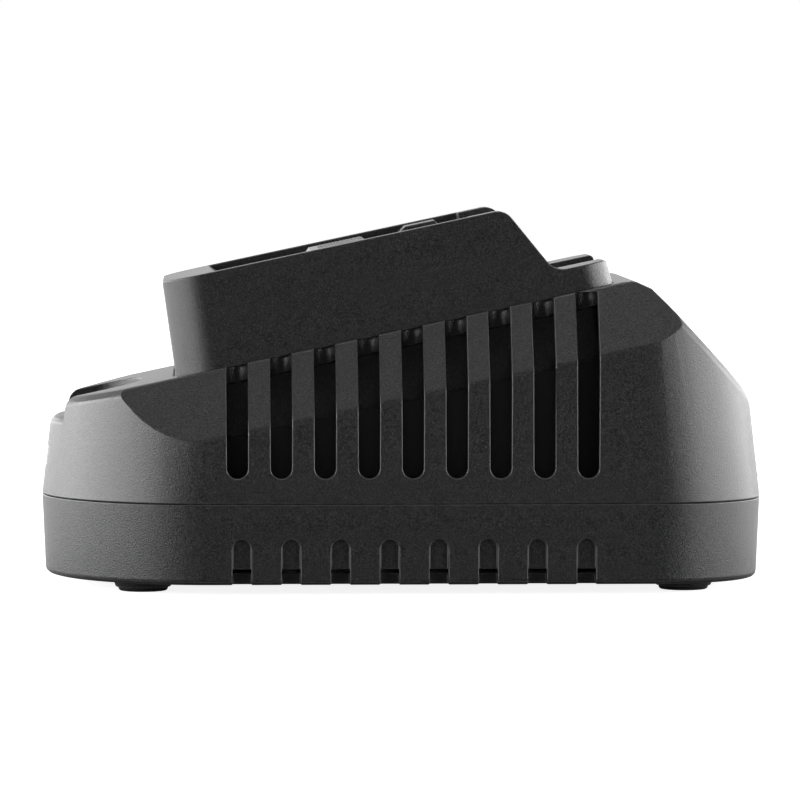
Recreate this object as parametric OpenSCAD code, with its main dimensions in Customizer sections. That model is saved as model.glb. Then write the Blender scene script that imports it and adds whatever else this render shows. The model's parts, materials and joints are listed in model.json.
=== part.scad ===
// Desktop charger for slide-on power tool batteries.
// Two moulded shells, a tilted battery dock and the power electronics inside.
// Millimetres. X runs from the low front (-X) to the mains inlet (+X), Z is up, Z = 0 is the table.

/* [Housing] */
// Overall length, nose to rear wall
body_len = 169; // [150:1:190]
// Overall width at the parting line
body_w = 88; // [84:1:96]
// Height of the parting line between the two shells
seam_z = 21; // [18:0.5:24]
// Wall thickness of the shells
wall = 2.5; // [2:0.1:3]
// Length of the rounded nose
nose_len = 40; // [32:0.5:48]
// Fullness of the nose in plan, 2 is a true ellipse
nose_power = 1.95; // [1.7:0.05:2.4]
// Plan radius of the rear corners
rear_corner_r = 26; // [18:1:30]
// Radius of the bowed rear end
rear_bow_r = 165; // [120:5:220]
// Inward lean of the end walls above the parting line, in degrees
end_draft = 6.5; // [3:0.5:8]
// Inward lean of the side walls above the parting line, in degrees
side_draft = 0.4; // [0.2:0.1:2]
// Inward lean of the lower shell towards its base, in degrees
base_draft = 2.5; // [1:0.5:4]
// Rounding of the top edge
edge_r = 2.2; // [1:0.1:3]
// Rounding of the bottom edge
base_edge_r = 1.4; // [0.8:0.1:2]

/* [Ramp and dock seat] */
// Tilt of the ramp and the dock, in degrees
ramp_angle = 12; // [8:0.5:15]
// Height of the ramp plane at the middle of the body
ramp_z = 60.9; // [56:0.2:64]
// Rear slope from the horizontal, in degrees
slope_angle = 46.5; // [40:0.5:55]
// Position of the crest between ramp and rear slope
crest_x = 54.6; // [52:0.2:58]
// Rounding of the crest
crest_r = 8; // [3:0.5:9]
// Half-width left between the two side facets at the ramp
facet_top_y = 34.2; // [33.6:0.1:36]
// Angle of the side facets from the vertical, in degrees
facet_angle = 32; // [28:1:40]
// Rounding between the roof and a side facet
facet_rim_r = 1; // [0.3:0.1:1.2]
// Rounding between facet and side wall
facet_r = 4; // [3:0.5:10]
// Half-width of the thumb scoop in the nose
scoop_half = 17.2; // [12:0.2:20]
// Where the scoop ends, measured along the body
scoop_end_x = -61.3; // [-63:0.1:-58]
// Height of the scoop floor at the lip
lip_z = 39.4; // [37:0.1:41]
// Rise of the scoop floor, in degrees
scoop_rise = 5; // [2:0.5:8]

/* [Vents] */
// Slots on each side of the upper shell
slot_count = 9; // [5:1:10]
// Distance between upper slots
slot_pitch = 10.06; // [9:0.02:10.2]
// Centre of the upper row of slots
slot_mid_x = 1.5; // [0:0.1:3]
// Width of an upper slot at its round foot
slot_w = 4.8; // [4:0.1:5.2]
// Height of the foot of the upper slots
slot_foot_z = 26.9; // [25:0.1:30]
// Grooves on each side of the lower shell
groove_count = 8; // [5:1:8]
// Distance between lower grooves
groove_pitch = 11.3; // [10:0.1:12]
// Centre of the lower row of grooves
groove_mid_x = 1.8; // [-1:0.1:3]
// Width of a lower groove
groove_w = 4.3; // [3.5:0.1:5]
// Height of the top of the lower grooves
groove_top_z = 13; // [11:0.5:15]
// Depth of the blind part of a groove
groove_depth = 1.2; // [0.8:0.1:1.4]
// Height of the open part of a groove above the base plate
groove_open = 3.6; // [2.5:0.1:5]
// How far the open part reaches in under the body
groove_reach = 4.4; // [3.5:0.1:6]

/* [Dock] */
// Height of the dock above the ramp plane
dock_h = 22; // [20:0.2:24]
// Half-width of the dock at the ramp plane
dock_half = 33; // [32.4:0.1:33.2]
// Front of the dock along the ramp
dock_front = -54.1; // [-55:0.1:-53]
// Rear of the dock along the ramp
dock_rear = 49.4; // [48:0.1:50]
// Draft of the sides of the dock, in degrees
dock_draft = 1.5; // [0.5:0.5:3]
// Lean of the front and rear ends of the dock, in degrees
dock_end_draft = 4; // [2:0.5:8]
// Plan radius of the front corners
dock_front_r = 10; // [8:0.5:11]
// Plan radius of the rear corners
dock_rear_r = 6.5; // [4:0.5:7]
// Upper end of the rear slope of the dock
dock_slope_top = 28.2; // [24:0.1:30]
// Lower end of the rear slope of the dock
dock_slope_foot = 36.6; // [35:0.1:38]
// Height of the rear step above the ramp plane
step_h = 5.7; // [5:0.1:7]
// Depth of the skirt below the ramp plane
skirt_h = 17.1; // [14:0.1:18]
// Thickness of the skirt
skirt_t = 2; // [1.6:0.1:2.4]
// Thickness of the dock's side walls
rail_wall = 3.6; // [3:0.1:4.2]
// Front of the battery channel along the ramp
channel_front = -39.9; // [-41:0.1:-39]
// Lead-in chamfer at the front edge of the channel
channel_lead = 1.7; // [0.5:0.1:2]
// Where the side walls get thicker towards the rear
channel_step = 19.7; // [17:0.1:21]
// Half-width of the channel behind that step
channel_rear_half = 26; // [24:0.5:27]
// Half-width of the channel through the rear step
throat_half = 16.5; // [16:0.5:18]
// Height of the channel floor above the ramp plane
floor_h = 2; // [1.5:0.1:3]
// Gap between the dock and the upper shell at the front
front_gap = 0.5; // [0.3:0.1:1]
// Gap between the dock and the upper shell elsewhere
fit_gap = 0.25; // [0.2:0.05:0.4]
// Width of the guide rails inside the dock
rail_depth = 2.4; // [1.8:0.1:2.8]

/* [Terminals] */
// Front of the terminal block along the ramp
block_front = -18.7; // [-21:0.1:-17]
// Length of the terminal block
block_len = 14.7; // [12:0.1:16]
// Half-width of the terminal block
block_half = 15; // [13.5:0.5:15.5]
// Width of the slots around the contact blades
blade_slot = 2.6; // [2.2:0.1:3]
// Distance between neighbouring contact blades
blade_pitch = 5.6; // [5:0.1:6]
// Thickness of the power blades
power_blade_t = 1; // [0.8:0.1:1.2]
// Thickness of the signal blades
signal_blade_t = 0.6; // [0.5:0.1:0.8]

/* [Base] */
// Height of the base plate above the table
base_z = 2.4; // [2:0.1:3]
// Diameter of the rubber feet
foot_d = 11.5; // [9:0.5:12]
// Distance of the front feet and screws from the middle
foot_front_x = 60.5; // [59:0.5:63]
// Distance of the rear feet and screws from the middle
foot_rear_x = 65; // [64:0.5:67]
// Distance of the feet and screws from the centre line
foot_y = 26; // [25:0.5:28]
// Distance between the two wall-hanging keyholes
keyhole_spacing = 90; // [70:1:100]
// Diameter of the keyhole's entry
keyhole_d = 8.6; // [8:0.1:9.5]
// Width of the keyhole's slot
keyhole_slot = 4.4; // [4:0.1:5]

/* [Electronics] */
// Thickness of the circuit boards
board_t = 1.6; // [1:0.2:2]
// Height of the underside of the main board
board_z = 10.5; // [10:0.1:12]
// Width of the main board
board_w = 70; // [64:1:72]
// Diameter of the reservoir capacitor
reservoir_d = 22; // [18:1:24]
// Height of the reservoir capacitor
reservoir_h = 30; // [24:1:32]
// Length of the transformer core
core_len = 32; // [28:1:34]
// Width of the mains inlet's socket
inlet_w = 17.4; // [16.8:0.1:18]
// Height of the mains inlet's socket
inlet_h = 8.6; // [8.2:0.1:9]

/* [Fasteners] */
// Shank diameter of the housing screws
screw_d = 3; // [2.5:0.1:3.5]
// Head diameter of the housing screws
screw_head_d = 6; // [5:0.1:6.6]
// Outside diameter of the screw bosses
boss_d = 8; // [7.5:0.1:9]

/* [Hidden] */
$fn = 32;
eps = 0.01;
half_len = body_len / 2;
half_w = body_w / 2;
nose_x = nose_len - half_len;
bow_x = half_len - rear_bow_r;
corner_y = half_w - rear_corner_r;
corner_x = bow_x + sqrt(pow(rear_bow_r - rear_corner_r, 2) - pow(corner_y, 2));
bow_angle = atan(corner_y / (corner_x - bow_x));
ramp_rise = tan(ramp_angle);
crest_z = ramp_z + crest_x * ramp_rise;
slope_fall = tan(slope_angle);
boss_hole = screw_d + 0.1;

// Half of the plan outline, from the rear centre to the nose tip, moved inwards by inset
bow_steps = 3;
corner_steps = 10;
side_steps = 14;
nose_steps = 20;
function bow_points(inset) = [for (i = [0 : bow_steps - 1]) let (a = bow_angle * i / bow_steps)
    [bow_x + (rear_bow_r - inset) * cos(a), (rear_bow_r - inset) * sin(a)]];
function corner_points(inset) = [for (i = [0 : corner_steps - 1])
    let (a = bow_angle + (90 - bow_angle) * i / corner_steps, r = rear_corner_r - inset)
    [corner_x + r * cos(a), corner_y + r * sin(a)]];
function side_points(inset) = [for (i = [0 : side_steps - 1]) let (t = pow(i / side_steps, 1.7))
    [corner_x + (nose_x - corner_x) * t, half_w - inset]];
function nose_points(inset) = [for (i = [0 : nose_steps]) let (a = 90 - 90 * i / nose_steps)
    [nose_x - (nose_len - inset) * pow(cos(a), 2 / nose_power),
    (half_w - inset) * pow(sin(a), 2 / nose_power)]];
function half_outline(inset) = concat(bow_points(inset), corner_points(inset), side_points(inset),
    nose_points(inset));
outline_half = bow_steps + corner_steps + side_steps + nose_steps;
function mirror_half(p) = concat(p, [for (i = [len(p) - 2 : -1 : 1]) [p[i][0], -p[i][1], p[i][2]]]);

// Height of the roof at x, lowered by drop at right angles: ramp, rounded crest, rear slope
bisector = (slope_angle + ramp_angle) / 2;
crest_reach = crest_r * tan(bisector);
function ramp_height(x, drop) = ramp_z + x * ramp_rise - drop / cos(ramp_angle);
function slope_height(x, drop) = crest_z - (x - crest_x) * slope_fall - drop / cos(slope_angle);
function roof(x, drop) = let (
    apex = crest_x - drop * (1 / cos(ramp_angle) - 1 / cos(slope_angle)) / (ramp_rise + slope_fall),
    r = crest_r - drop,
    reach = r * tan(bisector),
    arc_x = apex - reach * cos(ramp_angle) + r * sin(ramp_angle),
    arc_z = ramp_height(apex - reach * cos(ramp_angle), drop) - r * cos(ramp_angle))
    x < apex - reach * cos(ramp_angle) ? ramp_height(x, drop) :
    x > apex + reach * cos(slope_angle) ? slope_height(x, drop) :
    arc_z + sqrt(max(r * r - pow(x - arc_x, 2), 0));

// Floor of the thumb scoop
function scoop_height(x) = lip_z + (x + half_len) * tan(scoop_rise);
// Taper of the upper walls towards the top: ends and sides by their own draft
function lean(p, z) = [p[0] * (1 - (z - seam_z) * tan(end_draft) / half_len),
    p[1] * (1 - (z - seam_z) * tan(side_draft) / half_w)];
// A point of the top: the leaning wall and the height of roof or scoop floor settled against each other
function top_height(x, drop, lip) = lip ? scoop_height(x) : roof(x, drop);
function top_point(p, drop, sink, lip) = let (
    q = lean(p, top_height(p[0], drop, lip) - sink),
    s = lean(p, top_height(q[0], drop, lip) - sink))
    [s[0], s[1], top_height(s[0], drop, lip) - sink];

// Closed solid through rings of equal length; the last ring is bridged from side to side
function wall_faces(n, rings) = [for (k = [0 : rings - 2], i = [0 : n - 1]) let (a = k * n, j = (i + 1) % n)
    each [[a + i, a + n + i, a + j], [a + j, a + n + i, a + n + j]]];
function bridge_faces(n, a) = [for (i = [0 : n / 2 - 1]) let (m = (n - i) % n, k = n - i - 1)
    each (i == 0 ? [[a, a + k, a + 1]] : i == n / 2 - 1 ? [[a + i, a + m, a + i + 1]] :
    [[a + i, a + m, a + k], [a + i, a + k, a + i + 1]])];
module ring_solid(rings) {
    n = len(rings[0]);
    polyhedron(points = [for (r = rings) each r], convexity = 6,
        faces = concat([[for (i = [0 : n - 1]) i]], wall_faces(n, len(rings)),
        bridge_faces(n, n * (len(rings) - 1))));
}

// The upper housing form from z_from up to its rounded roof edge, or up to the scoop floor where lip is set
module upper_form(inset, drop, radius, z_from, lip = false) {
    steps = radius > 0 ? 4 : 0;
    foot = [for (p = half_outline(inset)) let (q = lean(p, z_from)) [q[0], q[1], z_from]];
    turns = [for (k = [0 : steps]) let (a = steps > 0 ? 90 * k / steps : 90)
        [for (p = half_outline(inset + radius * (1 - cos(a))))
        top_point(p, drop, radius * (1 - sin(a)), lip)]];
    ring_solid([for (h = concat([foot], turns)) mirror_half(h)]);
}

// The lower housing form: drafted walls and a rounded bottom edge, floor at z_from
module lower_form(inset, z_from, radius, z_to) {
    steps = radius > 0 ? 3 : 0;
    function sized(shrink, z) = let (draft = max(seam_z - z, 0) * tan(base_draft))
        [for (p = half_outline(inset + shrink + draft)) [p[0], p[1], z]];
    turns = [for (k = [0 : steps]) let (a = steps > 0 ? 90 * k / steps : 90)
        sized(radius * (1 - sin(a)), z_from + radius * (1 - cos(a)))];
    ring_solid([for (h = concat(turns, z_to > seam_z ? [sized(0, seam_z)] : [], [sized(0, z_to)]))
        mirror_half(h)]);
}

// Children drawn in the tilted frame of the ramp: X along the ramp, Z at right angles to it
module on_ramp() {
    translate([0, 0, ramp_z])
        rotate([0, -ramp_angle, 0])
        children();
}

// Both sides of the centre line
module both_sides() {
    children();
    mirror([0, 1, 0])
        children();
}

// A profile in the XZ plane, as wide as width on both sides of the centre line
module across(width) {
    rotate([90, 0, 0])
        linear_extrude(height = width, center = true, convexity = 6)
        children();
}

// Cutter for one side facet, moved inwards by depth
facet_step = 0.1;
facet_arc_y = half_w - facet_step - facet_r;
facet_arc_w = ((facet_top_y - facet_arc_y) * cos(facet_angle) - facet_r) / sin(facet_angle);
facet_exit = 6;
module facet_cut(depth) {
    r = facet_r - depth;
    outside = body_w;
    above = 8;
    shift = depth / cos(facet_angle);
    rim = max(facet_rim_r - depth, 0.05);
    turn = 90 - facet_angle;
    rim_y = facet_top_y - shift - rim * tan(turn / 2);
    rim_arc = [for (i = [0 : 3]) let (a = 90 - turn * i / 3) [rim_y + rim * cos(a), rim * sin(a) - rim - eps]];
    arc = [for (i = [0 : 6]) let (a = facet_angle - (facet_angle - facet_exit) * i / 6)
        [facet_arc_y + r * cos(a), facet_arc_w + r * sin(a)]];
    on_ramp()
        rotate([90, 0, 90])
        linear_extrude(height = 2 * body_len, center = true, convexity = 4)
        polygon(concat([[outside, above], [rim_y - above, above]], rim_arc, arc,
        [[outside, arc[6][1] - (outside - arc[6][0]) * sin(facet_exit)]]));
}

// ---- upper shell ----

// Plan of the dock at height w above the ramp plane, grown by gap, as a ring of points
dock_corner_steps = 6;
function dock_corner(x, y, r, from, w) = [for (i = [0 : dock_corner_steps])
    let (a = from + 90 * i / dock_corner_steps) [x + r * cos(a), y + r * sin(a), w]];
function dock_ring(w, gap, nose_gap) = let (
    rise = max(w, 0),
    x0 = dock_front + rise * tan(dock_end_draft) - nose_gap,
    x1 = dock_rear - rise * tan(dock_end_draft) + gap,
    y = dock_half - rise * tan(dock_draft) + gap,
    rf = max(dock_front_r + gap, 0.5),
    rr = max(dock_rear_r + gap, 0.5))
    concat(dock_corner(x1 - rr, y - rr, rr, 0, w), dock_corner(x0 + rf, y - rf, rf, 90, w),
    dock_corner(x0 + rf, rf - y, rf, 180, w), dock_corner(x1 - rr, rr - y, rr, 270, w));
module dock_plan(w0, w1, gap, nose_gap) {
    n = 4 * (dock_corner_steps + 1);
    polyhedron(points = concat(dock_ring(w0, gap, nose_gap), dock_ring(w1, gap, nose_gap)), convexity = 2,
        faces = concat([[for (i = [0 : n - 1]) i], [for (i = [n - 1 : -1 : 0]) n + i]],
        [for (i = [0 : n - 1]) let (j = (i + 1) % n) each [[i, n + i, j], [j, n + i, n + j]]]));
}

// Thumb scoop, open at the nose, with a round inner end
scoop_r = 11;
module scoop() {
    low = lip_z - 6;
    difference() {
        union() {
            translate([-body_len, -scoop_half, low])
                cube([body_len + scoop_end_x - scoop_r, 2 * scoop_half, body_len]);
            translate([scoop_end_x - scoop_r - 1, scoop_r - scoop_half, low])
                cube([scoop_r + 1, 2 * (scoop_half - scoop_r), body_len]);
            both_sides()
                translate([scoop_end_x - scoop_r, scoop_half - scoop_r, low])
                cylinder(r = scoop_r, h = body_len);
        }
        upper_form(-0.03, 0, edge_r, seam_z, true);
    }
}

// One upper vent slot at x: round foot, slightly wider head and a half-round end cut down through the collar
slot_flare = 0.3;
slot_head_y = facet_top_y - 0.4;
module slot_cut(x) {
    r = slot_w / 2;
    head = r + slot_flare / 2;
    axis_z = slot_foot_z + r;
    top = 40;
    translate([x, slot_head_y, 0])
        rotate([90, 0, 180])
        linear_extrude(height = half_w, convexity = 4)
        union() {
            translate([0, axis_z])
                circle(r = r);
            polygon([[-r, axis_z], [r, axis_z], [head, axis_z + top], [-head, axis_z + top]]);
        }
    translate([x, slot_head_y, axis_z])
        cylinder(r1 = r, r2 = head, h = top);
}

function row_x(i, count, pitch, mid) = mid + (i - (count - 1) / 2) * pitch;

module upper_slots() {
    for (i = [0 : slot_count - 1])
        slot_cut(row_x(i, slot_count, slot_pitch, slot_mid_x));
}

// The four feet stand under the housing screws
module at_feet() {
    for (x = [-foot_front_x, foot_rear_x])
        both_sides()
        translate([x, foot_y, 0])
        children();
}

// The dock drops into a shallow seat in the roof; its skirt hangs through a smaller opening with a collar
seat_depth = 0.4;
skirt_set = 2.5;
collar_t = 3.5;
collar_slope = 14;
module dock_opening() {
    on_ramp() {
        dock_plan(-seat_depth, dock_h, fit_gap, front_gap);
        dock_plan(-skirt_h - 1, 0, fit_gap - skirt_set, fit_gap - skirt_set);
    }
}
// Thick edge under the roof on one side of the opening, its underside falling towards the middle
module seat_collar() {
    ends = 3.5;
    lap = 1.2;
    inner = dock_half - skirt_set - lap;
    outer = facet_top_y + lap;
    function under(y) = -collar_t - (facet_top_y - y) * tan(collar_slope);
    on_ramp()
        translate([dock_front + ends, 0, 0])
        rotate([90, 0, 90])
        linear_extrude(height = dock_rear - dock_front - 2 * ends)
        polygon([[inner, under(inner)], [outer, under(outer)], [outer - lap / 3, -2 * lap],
        [facet_top_y - lap, -1], [inner, -1]]);
}

// Places of the four screws that hold the dock, in the ramp frame; each comes up through a tab of the shell
ear_in = 6.7;
ear_y = 14;
ear_w = 8.5;
ear_t = 2.4;
dock_screw_d = 2.6;
screw_bite = 4;
dock_boss_d = 6.4;
module at_ears() {
    for (x = [dock_front + ear_in, dock_rear - ear_in])
        both_sides()
        translate([x, ear_y, 0])
        children();
}
// A block below the four screw places, from outside the opening (out) to past the screw, wider by grow
module ear_blocks(out, grow, w0, w1) {
    width = dock_boss_d + 2 * grow;
    reach = out + ear_in + dock_boss_d / 2 + grow;
    both_sides()
        for (x = [dock_front - out, dock_rear + out - reach])
            translate([x, ear_y - width / 2, w0])
            cube([reach, width, w1 - w0]);
}

// Joint between the shells: a tongue on the lower shell in a rebate of the upper one
tongue_h = 2;
tongue_t = 1.1;
tongue_gap = 0.15;
module tongue_form(inset, top) {
    difference() {
        lower_form(wall - inset, seam_z - 3, 0, top);
        lower_form(wall + eps, seam_z - 4, 0, top + 1);
    }
}

// Window for the status lamps in the nose
lens_w = 15;
lens_h = 4.6;
lens_z = 30;
module lens_shape(grow) {
    translate([-half_len - 1, 0, lens_z])
        rotate([90, 0, 90])
        linear_extrude(height = 12)
        union() {
            for (s = [-1, 1])
                translate([s * (lens_w - lens_h) / 2, 0])
                circle(r = lens_h / 2 + grow);
            square([lens_w - lens_h, lens_h + 2 * grow], center = true);
        }
}

// Mains inlet: a figure-of-eight socket in a square body, flush in the rear wall
inlet_z = board_z + board_t + 7;
inlet_body_w = inlet_w + 5;
inlet_body_h = inlet_h + 5;
inlet_body_d = 20;
socket_depth = 12;
inlet_set = 0.7;
inlet_face_x = half_len - inlet_set;
inlet_pin_d = 2.36;
inlet_pin_gap = 8.6;
module inlet_hole() {
    translate([inlet_face_x - 8, -inlet_body_w / 2 - fit_gap, inlet_z - inlet_body_h / 2 - fit_gap])
        cube([20, inlet_body_w + 2 * fit_gap, inlet_body_h + 2 * fit_gap]);
}

module upper_shell() {
    color([0.2, 0.2, 0.21])
        difference() {
            union() {
                difference() {
                    union() {
                        difference() {
                            upper_form(0, 0, edge_r, seam_z);
                            both_sides()
                                facet_cut(0);
                            scoop();
                            difference() {
                                upper_form(wall, wall, 0, seam_z - 1);
                                both_sides()
                                    facet_cut(wall);
                                scoop_wall();
                            }
                        }
                        both_sides()
                            seat_collar();
                    }
                    both_sides()
                        upper_slots();
                    dock_opening();
                }
                upper_posts();
            }
            at_feet()
                translate([0, 0, seam_z - 2])
                cylinder(d = boss_hole, h = 16);
            on_ramp()
                at_ears()
                translate([0, 0, -ear_w - ear_t - 1])
                cylinder(d = dock_screw_d + 0.4, h = ear_t + 2);
            difference() {
                lower_form(wall - tongue_t - tongue_gap, seam_z - 1, 0, seam_z + tongue_h + tongue_gap);
                at_feet()
                    cylinder(d = boss_d, h = body_len);
            }
            inlet_hole();
            lens_shape(0);
        }
}

// Material kept under and around the scoop inside the nose
module scoop_wall() {
    back = scoop_end_x + wall;
    across(2 * (scoop_half + wall))
        polygon([[-body_len, scoop_height(-body_len) - wall], [back, scoop_height(back) - wall],
        [back, body_len], [-body_len, body_len]]);
}

// Screw posts and the tabs for the dock that hang from the roof
tab_out = 1.5;
module upper_posts() {
    intersection() {
        upper_form(wall / 2, wall / 2, 0, seam_z);
        difference() {
            union() {
                at_feet()
                    translate([0, 0, seam_z])
                    cylinder(d = boss_d, h = body_len);
                on_ramp()
                    difference() {
                        ear_blocks(tab_out, 0, -ear_w - ear_t, 0);
                        translate([dock_front + skirt_set - fit_gap, -body_w / 2, -ear_w])
                            cube([dock_rear - dock_front - 2 * (skirt_set - fit_gap), body_w, ear_w + 1]);
                    }
            }
            both_sides()
                facet_cut(wall / 2);
        }
    }
}

// ---- lower shell ----

floor_z = base_z + wall;
foot_ring = 0.6;
foot_ring_h = 1.5;
foot_top_z = base_z + 0.6;

// Blind groove, open at its foot and round under the edge of the base
module groove_cut(x) {
    r = groove_w / 2;
    translate([x, half_w + 1, 0])
        rotate([90, 0, 0])
        linear_extrude(height = groove_depth + 1.7)
        union() {
            translate([0, groove_top_z - r])
                circle(r = r);
            translate([-r, 0])
                square([groove_w, groove_top_z - r]);
        }
    translate([x - r, half_w - groove_reach, 0])
        cube([groove_w, groove_reach + 1, base_z + groove_open]);
}

module base_grooves() {
    for (i = [0 : groove_count - 1])
        groove_cut(row_x(i, groove_count, groove_pitch, groove_mid_x));
}

keyhole_depth = 3.2;
keyhole_run = 8;
keyhole_roof = 1.2;
module at_keyholes() {
    for (s = [-1, 1])
        translate([s * keyhole_spacing / 2, 0, 0])
        children();
}
module keyhole_pocket(grow, z0, z1) {
    r = keyhole_d / 2 + grow;
    translate([0, 0, z0])
        cylinder(r = r, h = z1 - z0);
    translate([keyhole_run, 0, z0])
        cylinder(r = r, h = z1 - z0);
    translate([0, -r, z0])
        cube([keyhole_run, 2 * r, z1 - z0]);
}
module keyhole_mouth() {
    cylinder(d = keyhole_d, h = floor_z + eps);
    translate([keyhole_run, 0, 0])
        cylinder(d = keyhole_slot, h = floor_z + eps);
    translate([0, -keyhole_slot / 2, 0])
        cube([keyhole_run, keyhole_slot, floor_z + eps]);
}

board_gap = 1.5;
board_front_x = boss_d / 2 + board_gap - foot_front_x;
board_rear_x = foot_rear_x - boss_d / 2 - board_gap;
board_tail_w = 36;
board_tail_x = half_len - wall - 3;
board_post_d = 6.4;
board_screw_d = 2.6;
board_inset = 5;
module at_board_posts() {
    for (x = [board_front_x + board_inset, board_rear_x - board_inset])
        both_sides()
        translate([x, board_w / 2 - board_inset, 0])
        children();
}

screw_seat_z = 9;
module lower_shell() {
    color([0.19, 0.19, 0.2])
        difference() {
            union() {
                difference() {
                    lower_form(0, base_z, base_edge_r, seam_z);
                    lower_form(wall, floor_z, 0, seam_z + 1);
                    both_sides()
                        base_grooves();
                }
                tongue_form(tongue_t, seam_z + tongue_h);
                at_feet()
                    foot_boss();
                at_board_posts()
                    translate([0, 0, floor_z - 1])
                    cylinder(d = board_post_d, h = board_z - floor_z + 1);
                at_keyholes()
                    keyhole_pocket(keyhole_roof, floor_z - 1, floor_z + keyhole_depth + keyhole_roof);
                lamp_board_rails();
            }
            at_keyholes() {
                keyhole_mouth();
                keyhole_pocket(0, floor_z, floor_z + keyhole_depth);
            }
            at_feet() {
                cylinder(d = foot_d + 0.1, h = foot_top_z);
                cylinder(d = screw_head_d + 0.6, h = screw_seat_z);
                cylinder(d = boss_hole + 0.2, h = seam_z + 1);
            }
            at_board_posts()
                translate([0, 0, floor_z + 0.6])
                cylinder(d = board_screw_d + 0.1, h = board_z);
            inlet_hole();
        }
}

// Raised ring round a rubber foot below, and the screw post above it
module foot_boss() {
    d = foot_d + 2 * foot_ring;
    translate([0, 0, base_z - foot_ring_h])
        cylinder(d1 = d, d2 = d + foot_ring_h, h = foot_ring_h + 0.4);
    translate([0, 0, base_z + 1])
        cylinder(d = boss_d + 1, h = seam_z - base_z - 1);
}

// Two slotted ribs on the floor of the nose that hold the lamp board upright
rail_post = 4;
rail_post_h = 12;
module lamp_board_rails() {
    both_sides()
        difference() {
            translate([lamp_x + (board_t - rail_post) / 2, lamp_board_w / 2 - rail_post / 2, floor_z - 1])
                cube([rail_post, rail_post, rail_post_h + 1]);
            translate([lamp_x - 0.1, 0, floor_z])
                cube([board_t + 0.2, lamp_board_w / 2 + 0.1, rail_post_h + 1]);
        }
}

module foot(x, side) {
    rim = 0.7;
    r = foot_d / 2;
    color([0.1, 0.1, 0.1])
        translate([x, side * foot_y, 0])
        rotate_extrude()
        polygon([[0, 0], [r - rim, 0], [r, rim], [r, foot_top_z], [0, foot_top_z]]);
}
module foot_front_left() {
    foot(-foot_front_x, -1);
}
module foot_front_right() {
    foot(-foot_front_x, 1);
}
module foot_rear_left() {
    foot(foot_rear_x, -1);
}
module foot_rear_right() {
    foot(foot_rear_x, 1);
}

// Pan-head screw, head down, seat at z = 0 and shank upwards
module screw(d, head_d, head_h, len) {
    rotate_extrude()
        polygon([[0, -head_h], [head_d * 0.32, -head_h], [head_d * 0.46, -head_h * 0.7],
        [head_d / 2, -head_h * 0.2], [head_d / 2, 0], [d / 2, 0], [d / 2, len - d / 2], [d * 0.15, len],
        [0, len]]);
}
module housing_screws() {
    color([0.62, 0.62, 0.64])
        at_feet()
        translate([0, 0, screw_seat_z])
        screw(screw_d, screw_head_d, 2.2, seam_z - screw_seat_z + 12);
}

// ---- dock ----

dock_crown_r = 4;
dock_nook_r = 4.5;
dock_heel_r = 1.2;
// Centre and ends of an arc that rounds corner b between a and c
function unit(v) = v / norm(v);
function rounded(a, b, c, r, n = 5) = let (
    u = unit(a - b),
    v = unit(c - b),
    half = acos(u * v) / 2,
    m = b + unit(u + v) * r / sin(half),
    p = b + u * r / tan(half) - m,
    q = b + v * r / tan(half) - m,
    turn = 180 - 2 * half,
    side = sign(p[0] * q[1] - p[1] * q[0]))
    [for (i = [0 : n]) let (t = side * turn * i / n)
    m + [p[0] * cos(t) - p[1] * sin(t), p[0] * sin(t) + p[1] * cos(t)]];

// Side profile of the dock: long crown, steep rear slope, low step at the rear
module dock_profile() {
    far = 80;
    crown = [dock_slope_top, dock_h];
    nook = [dock_slope_foot, step_h];
    heel = [dock_rear - step_h * tan(dock_end_draft), step_h];
    polygon(concat([[-far, -skirt_h], [-far, dock_h]],
        rounded([-far, dock_h], crown, nook, dock_crown_r),
        rounded(crown, nook, heel, dock_nook_r),
        rounded(nook, heel, [dock_rear, 0], dock_heel_r),
        [[far, step_h - dock_heel_r - 0.2], [far, -skirt_h]]));
}

rail_w0 = 12.5;
rail_w1 = 16;
catch_front = 3.3;
catch_top = dock_h - 0.4;
catch_len = 11;
catch_half = 18.5;
cap_wall = 2.6;
module channel_box(u0, u1, half, w0) {
    translate([u0, -half, w0])
        cube([u1 - u0, 2 * half, 40]);
}

// Hollow under the channel floor and under the closed front end
notch_gap = 0.4;
module dock_hollow() {
    inset = -skirt_set - skirt_t;
    dock_plan(-skirt_h - 1, floor_h - wall, inset, inset);
    intersection() {
        union() {
            dock_plan(-1, floor_h + eps, inset, inset);
            dock_plan(floor_h, dock_h - cap_wall, -cap_wall, -cap_wall);
        }
        translate([dock_front, -body_w / 2, -1])
            cube([channel_front - cap_wall - dock_front, body_w, dock_h + 1]);
    }
}

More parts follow.
